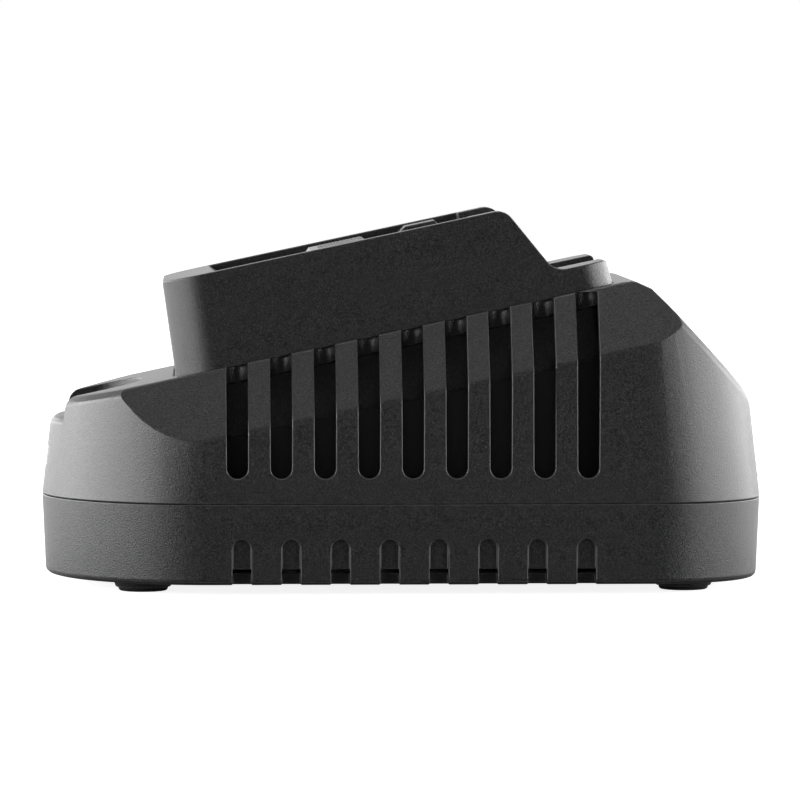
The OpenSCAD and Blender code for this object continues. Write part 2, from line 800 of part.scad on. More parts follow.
module dock() {
    color([0.17, 0.17, 0.18])
        on_ramp()
        difference() {
            union() {
                intersection() {
                    dock_plan(-seat_depth, dock_h + 1, 0, 0);
                    across(2 * body_w)
                        dock_profile();
                }
                dock_plan(-skirt_h, 0, -skirt_set, -skirt_set);
            }
            difference() {
                union() {
                    channel_box(channel_front, channel_step, dock_half - rail_wall, floor_h);
                    channel_box(channel_step - 1, dock_rear, channel_rear_half, step_h);
                    channel_box(channel_step - 1, dock_rear + 10, throat_half, floor_h);
                }
                both_sides()
                    dock_fittings();
            }
            across(2 * (dock_half - rail_wall))
                polygon([[channel_front - channel_lead, dock_h + eps], [channel_front, dock_h - channel_lead],
                [channel_front + 1, dock_h - channel_lead], [channel_front + 1, dock_h + eps]]);
            difference() {
                dock_hollow();
                at_ears()
                    translate([0, 0, -ear_w])
                    cylinder(d = dock_boss_d, h = ear_w + dock_h);
            }
            ear_blocks(0, notch_gap, -skirt_h - 1, -ear_w);
            at_ears()
                translate([0, 0, -ear_w - 1])
                cylinder(d = dock_screw_d + 0.1, h = screw_bite + 2);
            translate([block_front - fit_gap, -block_half - fit_gap, -skirt_h])
                cube([block_len + 2 * fit_gap, 2 * (block_half + fit_gap), skirt_h + dock_h]);
        }
    color([0.17, 0.17, 0.18])
        on_ramp()
        at_stakes()
        translate([0, 0, floor_h - wall - block_flange_t - stake_head])
        cylinder(d = stake_d, h = block_flange_t + stake_head + wall / 2);
}

// Guide rail and catch on one side of the channel
module dock_fittings() {
    side = dock_half - rail_wall;
    translate([channel_front + 8, side - rail_depth, rail_w0])
        cube([channel_step - channel_front - 8, rail_depth + 1, rail_w1 - rail_w0]);
    translate([0, side + 0.5, 0])
        rotate([90, 0, 0])
        linear_extrude(height = side + 0.5 - catch_half)
        polygon([[catch_front, floor_h - 1], [catch_front, catch_top - 2.2], [catch_front + 3.2, catch_top],
        [catch_front + catch_len - 0.6, catch_top], [catch_front + catch_len, catch_top - 1],
        [catch_front + catch_len, floor_h - 1]]);
}

// ---- terminals ----

// The block comes up through the channel floor; its flange lies under the floor on two heat stakes
block_top = dock_h - 0.4;
block_flange = 7;
block_flange_t = 2;
stake_d = 3;
stake_head = 1;
module at_stakes() {
    both_sides()
        translate([block_front + block_len / 2, block_half + block_flange / 2, 0])
        children();
}

// Slot centres: two power blades outside, three signal blades between
blade_lanes = [-2, -1, 0, 1, 2];
blade_low = floor_h + 3;
blade_high = dock_h - 1.2;
blade_x = block_front + 4;
tail_w = 3;
tail_low = floor_h - wall - 8;
module terminal_block() {
    lead = 1.5;
    trail = 0.5;
    back = block_front + block_len;
    low = floor_h - wall - block_flange_t;
    color([0.13, 0.13, 0.14])
        on_ramp()
        difference() {
            union() {
                across(2 * block_half)
                    polygon([[block_front, low], [block_front, block_top - lead],
                    [block_front + lead, block_top], [back - trail, block_top],
                    [back, block_top - trail], [back, low]]);
                translate([block_front - 2, -block_half - block_flange, low])
                    cube([block_len + 4, 2 * (block_half + block_flange), block_flange_t]);
            }
            for (lane = blade_lanes) {
                translate([blade_x - 0.6, lane * blade_pitch - blade_slot / 2, blade_low])
                    cube([block_len, blade_slot, dock_h]);
                translate([blade_x, lane * blade_pitch - blade_t(lane) / 2, low - 1])
                    cube([tail_w, blade_t(lane), dock_h]);
            }
            at_stakes()
                translate([0, 0, low - 1])
                cylinder(d = stake_d + 0.2, h = block_flange_t + 2);
        }
}

// Contact blade: a leaf in its slot and a tail down through the block
function blade_t(lane) = abs(lane) == 2 ? power_blade_t : signal_blade_t;
module blade(lane) {
    t = blade_t(lane);
    back = block_front + block_len - 0.8;
    lead = 2;
    heel = 0.8;
    on_ramp()
        translate([0, lane * blade_pitch, 0])
        across(t)
        polygon([[blade_x, tail_low], [blade_x + tail_w, tail_low], [blade_x + tail_w, blade_low],
        [back - heel, blade_low], [back, blade_low + heel], [back, blade_high - lead],
        [back - lead, blade_high], [blade_x, blade_high]]);
}
module power_contacts() {
    color([0.78, 0.66, 0.36]) {
        blade(-2);
        blade(2);
    }
}
module signal_contacts() {
    color([0.78, 0.66, 0.36]) {
        blade(-1);
        blade(0);
        blade(1);
    }
}
module dock_screws() {
    color([0.62, 0.62, 0.64])
        on_ramp()
        at_ears()
        translate([0, 0, -ear_w - ear_t])
        screw(dock_screw_d, 4.8, 1.8, ear_t + screw_bite);
}

// ---- electronics ----

board_top = board_z + board_t;
module circuit_board() {
    color([0.1, 0.32, 0.17])
        difference() {
            union() {
                translate([board_front_x, -board_w / 2, board_z])
                    cube([board_rear_x - board_front_x, board_w, board_t]);
                translate([board_rear_x - 1, -board_tail_w / 2, board_z])
                    cube([board_tail_x - board_rear_x + 1, board_tail_w, board_t]);
            }
            at_board_posts()
                cylinder(d = board_screw_d + 0.5, h = 40);
        }
}
module board_screws() {
    color([0.7, 0.7, 0.72])
        at_board_posts()
        translate([0, 0, board_top])
        mirror([0, 0, 1])
        screw(board_screw_d, 5, 1.8, board_top - floor_z - 1);
}

// Two upright insulating sheets between the live parts and the vents, from the board up to the dock's skirt
sheet_t = 0.8;
sheet_front = -47;
sheet_rear = 50;
sheet_lap = 0.5;
module insulation_sheets() {
    y = dock_half - fit_gap;
    top = skirt_h - sheet_lap;
    color([0.08, 0.08, 0.08])
        both_sides()
        translate([0, y, 0])
        rotate([90, 0, 0])
        linear_extrude(height = sheet_t)
        polygon([[sheet_front, board_top], [sheet_front, ramp_height(sheet_front, top)],
        [sheet_rear, ramp_height(sheet_rear, top)], [sheet_rear, board_top]]);
}

// Figure-of-eight outline of the socket
module eight(grow) {
    r = inlet_h / 2 + grow;
    for (s = [-1, 1])
        translate([s * (inlet_w - inlet_h) / 2, 0])
        circle(r = r);
    square([inlet_w - inlet_h, inlet_h * 0.72 + 2 * grow], center = true);
}
module mains_inlet() {
    color([0.1, 0.1, 0.11])
        difference() {
            translate([inlet_face_x - inlet_body_d, -inlet_body_w / 2, inlet_z - inlet_body_h / 2])
                cube([inlet_body_d, inlet_body_w, inlet_body_h]);
            translate([inlet_face_x - socket_depth, 0, inlet_z])
                rotate([90, 0, 90])
                linear_extrude(height = socket_depth + 1)
                eight(0);
            for (s = [-1, 1])
                translate([inlet_face_x - inlet_body_d - 1, s * inlet_pin_gap / 2, inlet_z])
                rotate([0, 90, 0])
                cylinder(d = inlet_pin_d, h = inlet_body_d);
        }
}
module inlet_pins() {
    tail = 3;
    reach = 9;
    tip = 0.7;
    r = inlet_pin_d / 2;
    len = tail + inlet_body_d - socket_depth + reach;
    color([0.8, 0.8, 0.8])
        for (s = [-1, 1])
            translate([inlet_face_x - inlet_body_d - tail, s * inlet_pin_gap / 2, inlet_z])
            rotate([0, 90, 0])
            rotate_extrude()
            polygon([[0, 0], [r, 0], [r, len - tip], [r - tip, len], [0, len]]);
}

// Places of the components on the board
module on_board(x, y) {
    translate([x, y, board_top])
        children();
}
filter_x = 42;
filter_y = 24.5;
filter_size = [18, 8.5, 15];
thermistor_x = 51;
thermistor_y = 6;
bridge_x = 13;
bridge_y = -29;
bridge_size = [20, 3.6, 14];
reservoir_x = 22;
reservoir_y = 15;
opto_x = -12;
opto_y = 24;
opto_size = [4.6, 6.4, 3.4];
chip_x = -28;
chip_y = 27;
chip_size = [10, 4, 1.6];
fuse_x = 43;
fuse_y = -22;
fuse_d = 5;
fuse_len = 20;
fuse_axis = 4;
clip_w = 4;
clip_h = 6.5;
module mains_fuse() {
    color([0.85, 0.87, 0.88])
        on_board(fuse_x - fuse_len / 2, fuse_y)
        translate([0, 0, fuse_axis])
        rotate([0, 90, 0])
        cylinder(d = fuse_d, h = fuse_len);
}
module fuse_clips() {
    spring = 1.1;
    color([0.75, 0.73, 0.65])
        for (s = [-1, 1])
            on_board(fuse_x + s * (fuse_len - clip_w - 1) / 2 - clip_w / 2, fuse_y)
            difference() {
                translate([0, -fuse_d / 2 - spring, 0])
                    cube([clip_w, fuse_d + 2 * spring, clip_h]);
                translate([-1, 0, fuse_axis])
                    rotate([0, 90, 0])
                    cylinder(d = fuse_d, h = clip_w + 2);
                translate([-1, -fuse_d / 2 + 0.7, fuse_axis])
                    cube([clip_w + 2, fuse_d - 1.4, clip_h]);
            }
}
// Upright block with rounded corners
module block_part(size, r) {
    linear_extrude(height = size[2])
        union() {
            square([size[0] - 2 * r, size[1]], center = true);
            square([size[0], size[1] - 2 * r], center = true);
            for (x = [-1, 1], y = [-1, 1])
                translate([x * (size[0] / 2 - r), y * (size[1] / 2 - r)])
                circle(r = r);
        }
}
module filter_capacitor() {
    color([0.75, 0.65, 0.2])
        on_board(filter_x, filter_y)
        block_part(filter_size, 0.8);
}
choke_x = 22;
choke_y = -21;
choke_r = 9;
choke_bore = 5;
choke_w = 9;
choke_axis = choke_r + 1.6;
module choke_core() {
    color([0.25, 0.4, 0.3])
        on_board(choke_x, choke_y + choke_w / 2)
        translate([0, 0, choke_axis])
        rotate([90, 0, 0])
        rotate_extrude()
        translate([choke_bore, 0])
        square([choke_r - choke_bore, choke_w]);
}
module choke_base() {
    size = [16, choke_w + 3, 3];
    color([0.15, 0.15, 0.15])
        on_board(choke_x, choke_y)
        difference() {
            translate([-size[0] / 2, -size[1] / 2, 0])
                cube(size);
            translate([0, size[1], choke_axis])
                rotate([90, 0, 0])
                cylinder(r = choke_r, h = 2 * size[1]);
        }
}
thermistor_d = 11;
thermistor_t = 3.6;
module inrush_thermistor() {
    color([0.2, 0.3, 0.22])
        on_board(thermistor_x, thermistor_y)
        translate([-thermistor_t / 2, 0, thermistor_d / 2])
        rotate([0, 90, 0])
        cylinder(d = thermistor_d, h = thermistor_t);
}
module bridge_rectifier() {
    color([0.12, 0.12, 0.13])
        on_board(bridge_x, bridge_y)
        block_part(bridge_size, 0.5);
}
// Can of an electrolytic capacitor with a rolled bead near its foot
module can(d, h) {
    rim = 0.05 * d;
    bead = 0.1 * d;
    r = d / 2;
    rotate_extrude()
        polygon([[0, 0], [r - rim, 0], [r, rim], [r, bead], [r - rim / 2, bead + rim / 2], [r, bead + rim],
        [r, h - rim], [r - rim, h], [0, h]]);
}
module reservoir_capacitor() {
    color([0.12, 0.2, 0.36])
        on_board(reservoir_x, reservoir_y)
        can(reservoir_d, reservoir_h);
}
core_w = 12;
core_h = 24;
core_x = -10;
core_y = 4;
core_leg = 6;
core_stand = 1;
window_w = core_len / 4 - 0.4;
middle_half = core_len / 8;
module transformer_core() {
    color([0.16, 0.16, 0.17])
        on_board(core_x, core_y)
        translate([0, 0, core_stand])
        across(core_w)
        difference() {
            translate([-core_len / 2, 0])
                square([core_len, core_h]);
            for (x = [middle_half, -middle_half - window_w])
                translate([x, core_leg])
                square([window_w, core_h - 2 * core_leg]);
        }
}
module transformer_coil() {
    gap = 0.1;
    size = [2 * (middle_half + window_w - gap), core_w + 2 * window_w, core_h - 2 * core_leg - 2 * gap];
    color([0.85, 0.7, 0.25])
        on_board(core_x, core_y)
        translate([0, 0, core_stand + core_leg + gap])
        difference() {
            block_part(size, window_w / 2);
            translate([-middle_half - gap, -core_w / 2 - gap, -1])
                cube([2 * (middle_half + gap), core_w + 2 * gap, core_h]);
        }
}

// Finned plate of aluminium
plate_t = 2;
fin_t = 1.5;
fin_len = 5;
module heatsink(len, height, fins) {
    translate([-len / 2, 0, 0])
        cube([len, plate_t, height]);
    for (i = [0 : fins - 1])
        translate([-len / 2 + i * (len - fin_t) / (fins - 1), -fin_len, 3])
        cube([fin_t, fin_len + 0.2, height - 3]);
}
primary_x = -14;
primary_y = -24;
primary_len = 30;
primary_h = 22;
module primary_heatsink() {
    color([0.7, 0.7, 0.72])
        on_board(primary_x, primary_y)
        heatsink(primary_len, primary_h, 7);
}
secondary_x = -38;
secondary_y = 14;
secondary_len = 26;
secondary_h = 17;
module secondary_heatsink() {
    color([0.7, 0.7, 0.72])
        on_board(secondary_x, secondary_y)
        rotate([0, 0, 90])
        heatsink(secondary_len, secondary_h, 6);
}
// Package with a metal tab and three legs, standing against its heatsink
module power_package() {
    body = [10, 4.4, 9];
    tab = [10, 1.3, 6];
    leg = [0.8, 0.6, 4];
    lift = 3;
    translate([-body[0] / 2, 0, lift])
        cube(body);
    translate([-tab[0] / 2, 0, lift + body[2]])
        cube(tab);
    for (i = [-1 : 1])
        translate([2.54 * i - leg[0] / 2, 1.6, 0])
        cube(leg);
}
module switching_transistor() {
    color([0.14, 0.14, 0.15])
        on_board(primary_x - 6, primary_y + plate_t)
        power_package();
}
module output_rectifier() {
    color([0.14, 0.14, 0.15])
        on_board(secondary_x - plate_t, secondary_y + 6)
        rotate([0, 0, 90])
        power_package();
}
output_x = -37;
output_y = -11;
output_pitch = 12;
output_d = 10;
output_h = 16;
module output_capacitors() {
    color([0.1, 0.24, 0.2])
        for (s = [-1, 1])
            on_board(output_x, output_y + s * output_pitch / 2)
            can(output_d, output_h);
}
module optocoupler() {
    color([0.13, 0.13, 0.14])
        on_board(opto_x, opto_y)
        translate([-opto_size[0] / 2, -opto_size[1] / 2, 0])
        cube(opto_size);
}
module control_chip() {
    color([0.13, 0.13, 0.14])
        on_board(chip_x, chip_y)
        translate([-chip_size[0] / 2, -chip_size[1] / 2, 0])
        cube(chip_size);
}

// Upright lamp board behind the nose, its two lamps and their window
lamp_set = 9;
lamp_x = lamp_set - half_len;
lamp_gap = 7;
lamp_d = 3;
lamp_board_w = 18;
module lamp_board() {
    color([0.1, 0.32, 0.17])
        translate([lamp_x, -lamp_board_w / 2, floor_z])
        cube([board_t, lamp_board_w, lens_z + 5 - floor_z]);
}
module status_lamps() {
    color([0.7, 0.85, 0.75])
        for (s = [-1, 1])
            translate([lamp_x, s * lamp_gap / 2, lens_z])
            rotate([0, -90, 0])
            cylinder(d = lamp_d, h = lamp_d);
}
module status_window() {
    flange = 1;
    gap = 0.1;
    inner = 1.2;
    color([0.75, 0.78, 0.76])
        difference() {
            union() {
                intersection() {
                    lens_shape(-gap);
                    upper_form(gap, 0, 0, seam_z);
                }
                intersection() {
                    lens_shape(flange);
                    upper_form(wall + gap, 0, 0, seam_z);
                }
            }
            upper_form(wall + inner, 0, 0, seam_z - 1);
        }
}

// Wire through its points: a tube of eight sides with a ring at every point
function along(p, i) = unit(p[min(i + 1, len(p) - 1)] - p[max(i - 1, 0)]);
wire_steps = 10;
wire_stops = concat([0, 0.01], [for (i = [1 : wire_steps - 1]) i / wire_steps], [0.99, 1]);
function smooth_path(a, b, c, d) = [for (t = wire_stops) let (s = 1 - t)
    s * s * s * a + 3 * s * s * t * b + 3 * s * t * t * c + t * t * t * d];
module tube(p, d) {
    sides = 8;
    rings = [for (i = [0 : len(p) - 1])
        let (w = along(p, i), u = unit(cross(w, [0, 1, 0.2])), v = cross(w, u))
        [for (k = [0 : sides - 1]) let (a = 360 * k / sides) p[i] + d / 2 * (u * cos(a) + v * sin(a))]];
    last = len(p) * sides;
    polyhedron(points = [for (r = rings) each r], convexity = 4,
        faces = concat([[for (k = [0 : sides - 1]) k], [for (k = [1 : sides]) last - k]],
        [for (i = [0 : len(p) - 2], k = [0 : sides - 1]) let (j = (k + 1) % sides, a = i * sides)
        each [[a + k, a + sides + k, a + j], [a + j, a + sides + k, a + sides + j]]]));
}
function ramp_point(u, y, w) = [u * cos(ramp_angle) - w * sin(ramp_angle), y,
    ramp_z + u * sin(ramp_angle) + w * cos(ramp_angle)];
solder_gap = 0.05;
module dock_wire(lane, d) {
    y = lane * blade_pitch;
    start = ramp_point(blade_x + tail_w / 2, y, tail_low - solder_gap);
    lead = ramp_point(blade_x + tail_w / 2, y, tail_low - 10);
    stop = [board_front_x + 6, lane * 4.4, board_top + solder_gap];
    tube(smooth_path(start, lead, stop + [0, 0, 30], stop), d);
}
module power_wires() {
    color([0.6, 0.08, 0.08])
        for (lane = [-2, 2])
            dock_wire(lane, 2.4);
}
module signal_wires() {
    color([0.85, 0.8, 0.3])
        for (lane = [-1 : 1])
            dock_wire(lane, 1.5);
}
module lamp_wires() {
    color([0.3, 0.3, 0.32])
        for (y = [-2, 0, 2]) {
            start = [lamp_x + board_t + solder_gap, y, lens_z - 4];
            stop = [board_front_x + 2, y, board_top + solder_gap];
            tube(smooth_path(start, start + [8, 0, 0], stop + [0, 0, 9], stop), 1.2);
        }
}

upper_shell();
lower_shell();
dock();
terminal_block();
power_contacts();
signal_contacts();
dock_screws();
housing_screws();
foot_front_left();
foot_front_right();
foot_rear_left();
foot_rear_right();
circuit_board();
board_screws();
mains_inlet();
inlet_pins();
mains_fuse();
fuse_clips();
filter_capacitor();
choke_core();
choke_base();
inrush_thermistor();
bridge_rectifier();
reservoir_capacitor();
transformer_core();
transformer_coil();
primary_heatsink();
secondary_heatsink();
switching_transistor();
output_rectifier();
output_capacitors();
optocoupler();
control_chip();
lamp_board();
status_lamps();
status_window();
power_wires();
signal_wires();
lamp_wires();
insulation_sheets();
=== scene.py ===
import json
import math

import bmesh
import bpy
from mathutils import Matrix, Vector
from mathutils.bvhtree import BVHTree
from mathutils.kdtree import KDTree


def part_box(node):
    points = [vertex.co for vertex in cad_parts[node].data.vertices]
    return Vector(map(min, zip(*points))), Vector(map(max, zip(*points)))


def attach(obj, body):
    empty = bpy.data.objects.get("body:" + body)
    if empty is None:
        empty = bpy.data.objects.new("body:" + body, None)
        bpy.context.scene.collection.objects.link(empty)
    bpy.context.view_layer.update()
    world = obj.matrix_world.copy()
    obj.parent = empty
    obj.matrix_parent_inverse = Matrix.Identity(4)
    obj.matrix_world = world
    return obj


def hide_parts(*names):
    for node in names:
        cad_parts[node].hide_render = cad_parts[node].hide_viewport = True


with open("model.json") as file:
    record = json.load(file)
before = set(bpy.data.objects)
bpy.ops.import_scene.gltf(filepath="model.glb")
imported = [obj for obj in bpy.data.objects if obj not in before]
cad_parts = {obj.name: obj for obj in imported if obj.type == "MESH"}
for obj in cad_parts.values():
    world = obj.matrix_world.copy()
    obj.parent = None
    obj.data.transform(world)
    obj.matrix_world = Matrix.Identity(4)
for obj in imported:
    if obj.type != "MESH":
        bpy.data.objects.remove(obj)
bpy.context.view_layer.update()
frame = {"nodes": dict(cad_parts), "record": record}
cadNodes = frame["nodes"]
mm = 0.001
print("frame loaded:", len(cadNodes), "nodes")

scene = bpy.context.scene
scene.view_settings.view_transform = "Standard"


# Helpers: an object in the scene, and a node with its settings and what feeds it
def addObject(name, data):
    made = bpy.data.objects.new(name, data)
    scene.collection.objects.link(made)
    return made


def addNode(tree, kind, values=(), **settings):
    node = tree.nodes.new(kind)
    for name, setting in settings.items():
        setattr(node, name, setting)
    for label, value in dict(values).items():
        if isinstance(value, bpy.types.NodeSocket):
            tree.links.new(value, node.inputs[label])
        else:
            node.inputs[label].default_value = value
    return node.outputs


def addMath(tree, operation, *values):
    return addNode(tree, "ShaderNodeMath", enumerate(values), operation=operation)[0]


def addPlace(tree, kind="Object"):
    return addNode(tree, "ShaderNodeTexCoord")[kind]


def addAxes(tree, kind):
    return addNode(tree, "ShaderNodeSeparateXYZ", {0: addPlace(tree, kind)})


def addNoise(tree, place, scale, detail, roughness):
    values = {"Vector": place, "Scale": scale, "Detail": detail, "Roughness": roughness}
    return addNode(tree, "ShaderNodeTexNoise", values)[0]


def addRange(tree, value, low, high, lowest=0.0, highest=1.0):
    values = {"Value": value, "From Min": low, "From Max": high, "To Min": lowest, "To Max": highest}
    return addNode(tree, "ShaderNodeMapRange", values, interpolation_type="SMOOTHSTEP")[0]


def addMix(tree, factor, first, second, kind="RGBA", blend="MIX"):
    first, second = (value + (1,) if isinstance(value, tuple) else value for value in (first, second))
    values = {"Factor": factor, "A": first, "B": second}
    mixed = addNode(tree, "ShaderNodeMix", values, data_type=kind, blend_type=blend)
    return next(socket for socket in mixed if socket.enabled)


# Where the camera stands round the charger, in degrees, and how far off, in metres
cameraSet = {"azimuth": -2.05, "elevation": 2.92, "distance": 1.326, "aim": (0, 0, 0.0427),
             "lens": 252.3, "sensor": 36, "clip": (0.05, 50)}


def makeCamera(spec):
    turn, rise = math.radians(spec["azimuth"]), math.radians(spec["elevation"])
    back = Vector((math.sin(turn) * math.cos(rise), -math.cos(turn) * math.cos(rise), math.sin(rise)))
    data = bpy.data.cameras.new("camera")
    data.lens, data.sensor_width = spec["lens"], spec["sensor"]
    data.clip_start, data.clip_end = spec["clip"]
    camera = addObject("camera", data)
    camera.location = Vector(spec["aim"]) + back * spec["distance"]
    camera.rotation_euler = back.to_track_quat("Z", "Y").to_euler()
    scene.camera = camera


# Soft boxes: place, point they face, width and height in metres, power in watts
softBoxes = {
    "leftBox": {"place": (-2.0, -0.45, 0.41), "faces": (0, -0.45, 0.1), "size": (4.0, 0.8), "power": 73},
    "rightBox": {"place": (2.0, -0.35, 0.41), "faces": (0, -0.35, 0.1), "size": (4.6, 0.8), "power": 77},
    "backLeftBox": {"place": (-1.3, 2.0, 0.31), "faces": (0, 0, 0.1), "size": (1.8, 0.6), "power": 11},
    "backRightBox": {"place": (1.3, 2.0, 0.31), "faces": (0, 0, 0.1), "size": (1.8, 0.6), "power": 9},
    "backBox": {"place": (0, 2.4, 0.7), "faces": (0, 0, 0.1), "size": (1.0, 1.4), "power": 3},
    "topBox": {"place": (0, 0.1, 2.0), "faces": (0, 0, 0.04), "size": (1.6, 1.2), "power": 9},
}


def makeSoftBox(name, spec):
    data = bpy.data.lights.new(name, "AREA")
    data.shape = "RECTANGLE"
    data.size, data.size_y = spec["size"]
    data.energy = spec["power"]
    box = addObject(name, data)
    box.location = spec["place"]
    away = Vector(spec["place"]) - Vector(spec["faces"])
    box.rotation_euler = away.to_track_quat("Z", "Y").to_euler()


# Surroundings: white where the camera or clear plastic looks, softer as a light, and dark behind the camera
studioSet = {"white": 1.0, "behind": 0.82, "ambient": 0.12, "darkFront": 0.08, "frontEdge": -0.7,
             "backEdge": 0.3}


def makeWorld(spec):
    world = bpy.data.worlds.new("studio")
    scene.world = world
    world.use_nodes = True
    tree = world.node_tree
    tree.nodes.clear()
    rays = addNode(tree, "ShaderNodeLightPath")
    axes = addAxes(tree, "Generated")
    shade = addRange(tree, axes["Y"], spec["frontEdge"], spec["backEdge"], spec["darkFront"], spec["behind"])
    gloss = addMix(tree, rays["Is Glossy Ray"], spec["ambient"], shade, "FLOAT")
    clear = addMath(tree, "MAXIMUM", rays["Is Camera Ray"], rays["Is Transmission Ray"])
    seen = addMix(tree, clear, gloss, spec["white"], "FLOAT")
    light = addNode(tree, "ShaderNodeBackground", {"Color": (1, 1, 1, 1), "Strength": seen})
    addNode(tree, "ShaderNodeOutputWorld", {"Surface": light[0]})


# Floor: pale with its shadow for the camera, and for gloss dark in front of the charger and bright
# beside and behind it
floorSet = {"size": 9.0, "colour": 0.78, "rough": 0.9, "gloss": 0.1, "glow": 0.86, "behind": 1.0,
            "front": 0.06, "frontEdge": 0.02, "backEdge": 0.2}


def makeFloor(spec):
    half = spec["size"] / 2
    mesh = bpy.data.meshes.new("floor")
    corners = [(-half, -half, 0), (half, -half, 0), (half, half, 0), (-half, half, 0)]
    mesh.from_pydata(corners, [], [(0, 1, 2, 3)])
    floor = addObject("floor", mesh)
    material = bpy.data.materials.new("paleFloor")
    material.use_nodes = True
    tree = material.node_tree
    shader = tree.nodes["Principled BSDF"].inputs
    shader["Roughness"].default_value = spec["rough"]
    shader["Specular IOR Level"].default_value = spec["gloss"]
    shader["Emission Color"].default_value = (1, 1, 1, 1)
    rays = addNode(tree, "ShaderNodeLightPath")
    axes = addAxes(tree, "Object")
    away = addMath(tree, "ADD", addMath(tree, "ABSOLUTE", axes["X"]), axes["Y"])
    shade = addRange(tree, away, spec["frontEdge"], spec["backEdge"], spec["front"], spec["behind"])
    pale = addMix(tree, rays["Is Glossy Ray"], (spec["colour"],) * 3, (0, 0, 0))
    tree.links.new(pale, shader["Base Color"])
    glow = addMath(tree, "MULTIPLY", rays["Is Camera Ray"], spec["glow"])
    mirrored = addMath(tree, "MULTIPLY_ADD", rays["Is Glossy Ray"], shade, glow)
    tree.links.new(mirrored, shader["Emission Strength"])
    mesh.materials.append(material)


makeCamera(cameraSet)
for boxName, boxSpec in softBoxes.items():
    makeSoftBox(boxName, boxSpec)
makeWorld(studioSet)
makeFloor(floorSet)
print("studio set:", len(softBoxes), "soft boxes")


# Shader groups
def makeGroup(name, inputs, outputs):
    group = bpy.data.node_groups.new(name, "ShaderNodeTree")
    for label, value in inputs.items():
        socket = group.interface.new_socket(label, in_out="INPUT", socket_type="NodeSocketFloat")
        socket.default_value = value
    for label in outputs:
        group.interface.new_socket(label, in_out="OUTPUT", socket_type="NodeSocketFloat")
    return group, group.nodes.new("NodeGroupInput").outputs, group.nodes.new("NodeGroupOutput").inputs


# A tone that varies round 1 as the pattern does round a half
def addTone(group, pattern, mottle, contrast):
    swing = addMath(group, "MULTIPLY", addMath(group, "SUBTRACT", pattern, 0.5), mottle)
    return addMath(group, "ADD", addMath(group, "MULTIPLY", swing, contrast), 1.0)


# Spark-eroded mould grain: pits for the bump, a mottled tone, and bright specks. Noise is given as detail
# and roughness, here and below
grainSet = {"noise": (3.0, 0.6), "broadScale": 0.3, "broadShare": 0.15, "contrast": 4.0,
            "speckNoise": (2.0, 0.6), "speckScale": 0.8, "speckFrom": 0.58, "speckFull": 0.7}


def makeGrain(spec):
    group, given, result = makeGroup("mouldGrain", {"Pits per metre": 2600.0, "Mottle": 0.25},
                                     ["Height", "Tone", "Speck"])
    place = addPlace(group)
    pits = given["Pits per metre"]
    fine = addNoise(group, place, pits, *spec["noise"])
    broad = addNoise(group, place, addMath(group, "MULTIPLY", pits, spec["broadScale"]), *spec["noise"])
    group.links.new(fine, result["Height"])
    mixed = addMath(group, "ADD", addMath(group, "MULTIPLY", fine, 1 - spec["broadShare"]),
                    addMath(group, "MULTIPLY", broad, spec["broadShare"]))
    group.links.new(addTone(group, mixed, given["Mottle"], spec["contrast"]), result["Tone"])
    sparse = addMath(group, "MULTIPLY", pits, spec["speckScale"])
    specks = addNoise(group, place, sparse, *spec["speckNoise"])
    group.links.new(addRange(group, specks, spec["speckFrom"], spec["speckFull"]), result["Speck"])
    return group


# Dust that settles on what faces up
dustSet = {"noise": (5.0, 0.7), "scale": 260.0, "upPower": 3.0}


def makeDust(spec):
    group, given, result = makeGroup("restingDust", {"Amount": 0.1}, ["Mask"])
    facing = addMath(group, "MAXIMUM", addAxes(group, "Normal")["Z"], 0.0)
    up = addMath(group, "POWER", facing, spec["upPower"])
    specks = addNoise(group, addPlace(group), spec["scale"], *spec["noise"])
    patch = addMath(group, "MULTIPLY", up, addMath(group, "MULTIPLY", specks, given["Amount"]))
    group.links.new(patch, result["Mask"])
    return group


# Edge highlight and wear: the edge attribute of a rounded mesh, broken up by noise; it lightens the colour
# along rounded edges, a painted highlight on the plastics and rubbed wear on the contacts
highlightAndWearSet = {"noise": (4.0, 0.65), "scale": 420.0, "low": 0.3, "high": 0.65, "least": 0.35}


def makeHighlightAndWear(spec):
    group, given, result = makeGroup("edgeHighlightAndWear", {"Amount": 0.4}, ["Mask"])
    edge = addNode(group, "ShaderNodeAttribute", attribute_name="edge")["Fac"]
    specks = addNoise(group, addPlace(group), spec["scale"], *spec["noise"])
    broken = addRange(group, specks, spec["low"], spec["high"], spec["least"])
    strength = addMath(group, "MULTIPLY", broken, given["Amount"])
    group.links.new(addMath(group, "MULTIPLY", edge, strength), result["Mask"])
    return group


# Drawn or brushed metal: fine lines across the Z axis
brushedSet = {"noise": (3.0, 0.6), "stretch": (0.04, 0.04, 1.0), "contrast": 1.0}


def makeBrushed(spec):
    group, given, result = makeGroup("drawnLines", {"Lines per metre": 6000.0, "Mottle": 0.2},
                                     ["Height", "Tone"])
    values = {"Vector": addPlace(group), "Scale": spec["stretch"]}
    stretched = addNode(group, "ShaderNodeMapping", values)[0]
    lines = addNoise(group, stretched, given["Lines per metre"], *spec["noise"])
    group.links.new(lines, result["Height"])
    group.links.new(addTone(group, lines, given["Mottle"], spec["contrast"]), result["Tone"])
    return group


shaderGroups = {"grain": makeGrain(grainSet), "dust": makeDust(dustSet), "rub": makeHighlightAndWear(highlightAndWearSet),
                "lines": makeBrushed(brushedSet)}


def addGroup(tree, label, values):
    return addNode(tree, "ShaderNodeGroup", values, node_tree=shaderGroups[label])


# Copper tracks under the green mask: a raised lighter network of rounded cells
trackSet = {"cells": 160, "width": 0.1, "soft": 0.7, "colour": (0.03, 0.2, 0.06)}


def addTracks(tree, colour, spec):
    values = {"Vector": addPlace(tree), "Scale": spec["cells"]}
    cells = addNode(tree, "ShaderNodeTexVoronoi", values, feature="DISTANCE_TO_EDGE")
    gap = addRange(tree, cells["Distance"], spec["width"] * spec["soft"], spec["width"])
    return addMix(tree, gap, colour, spec["colour"])
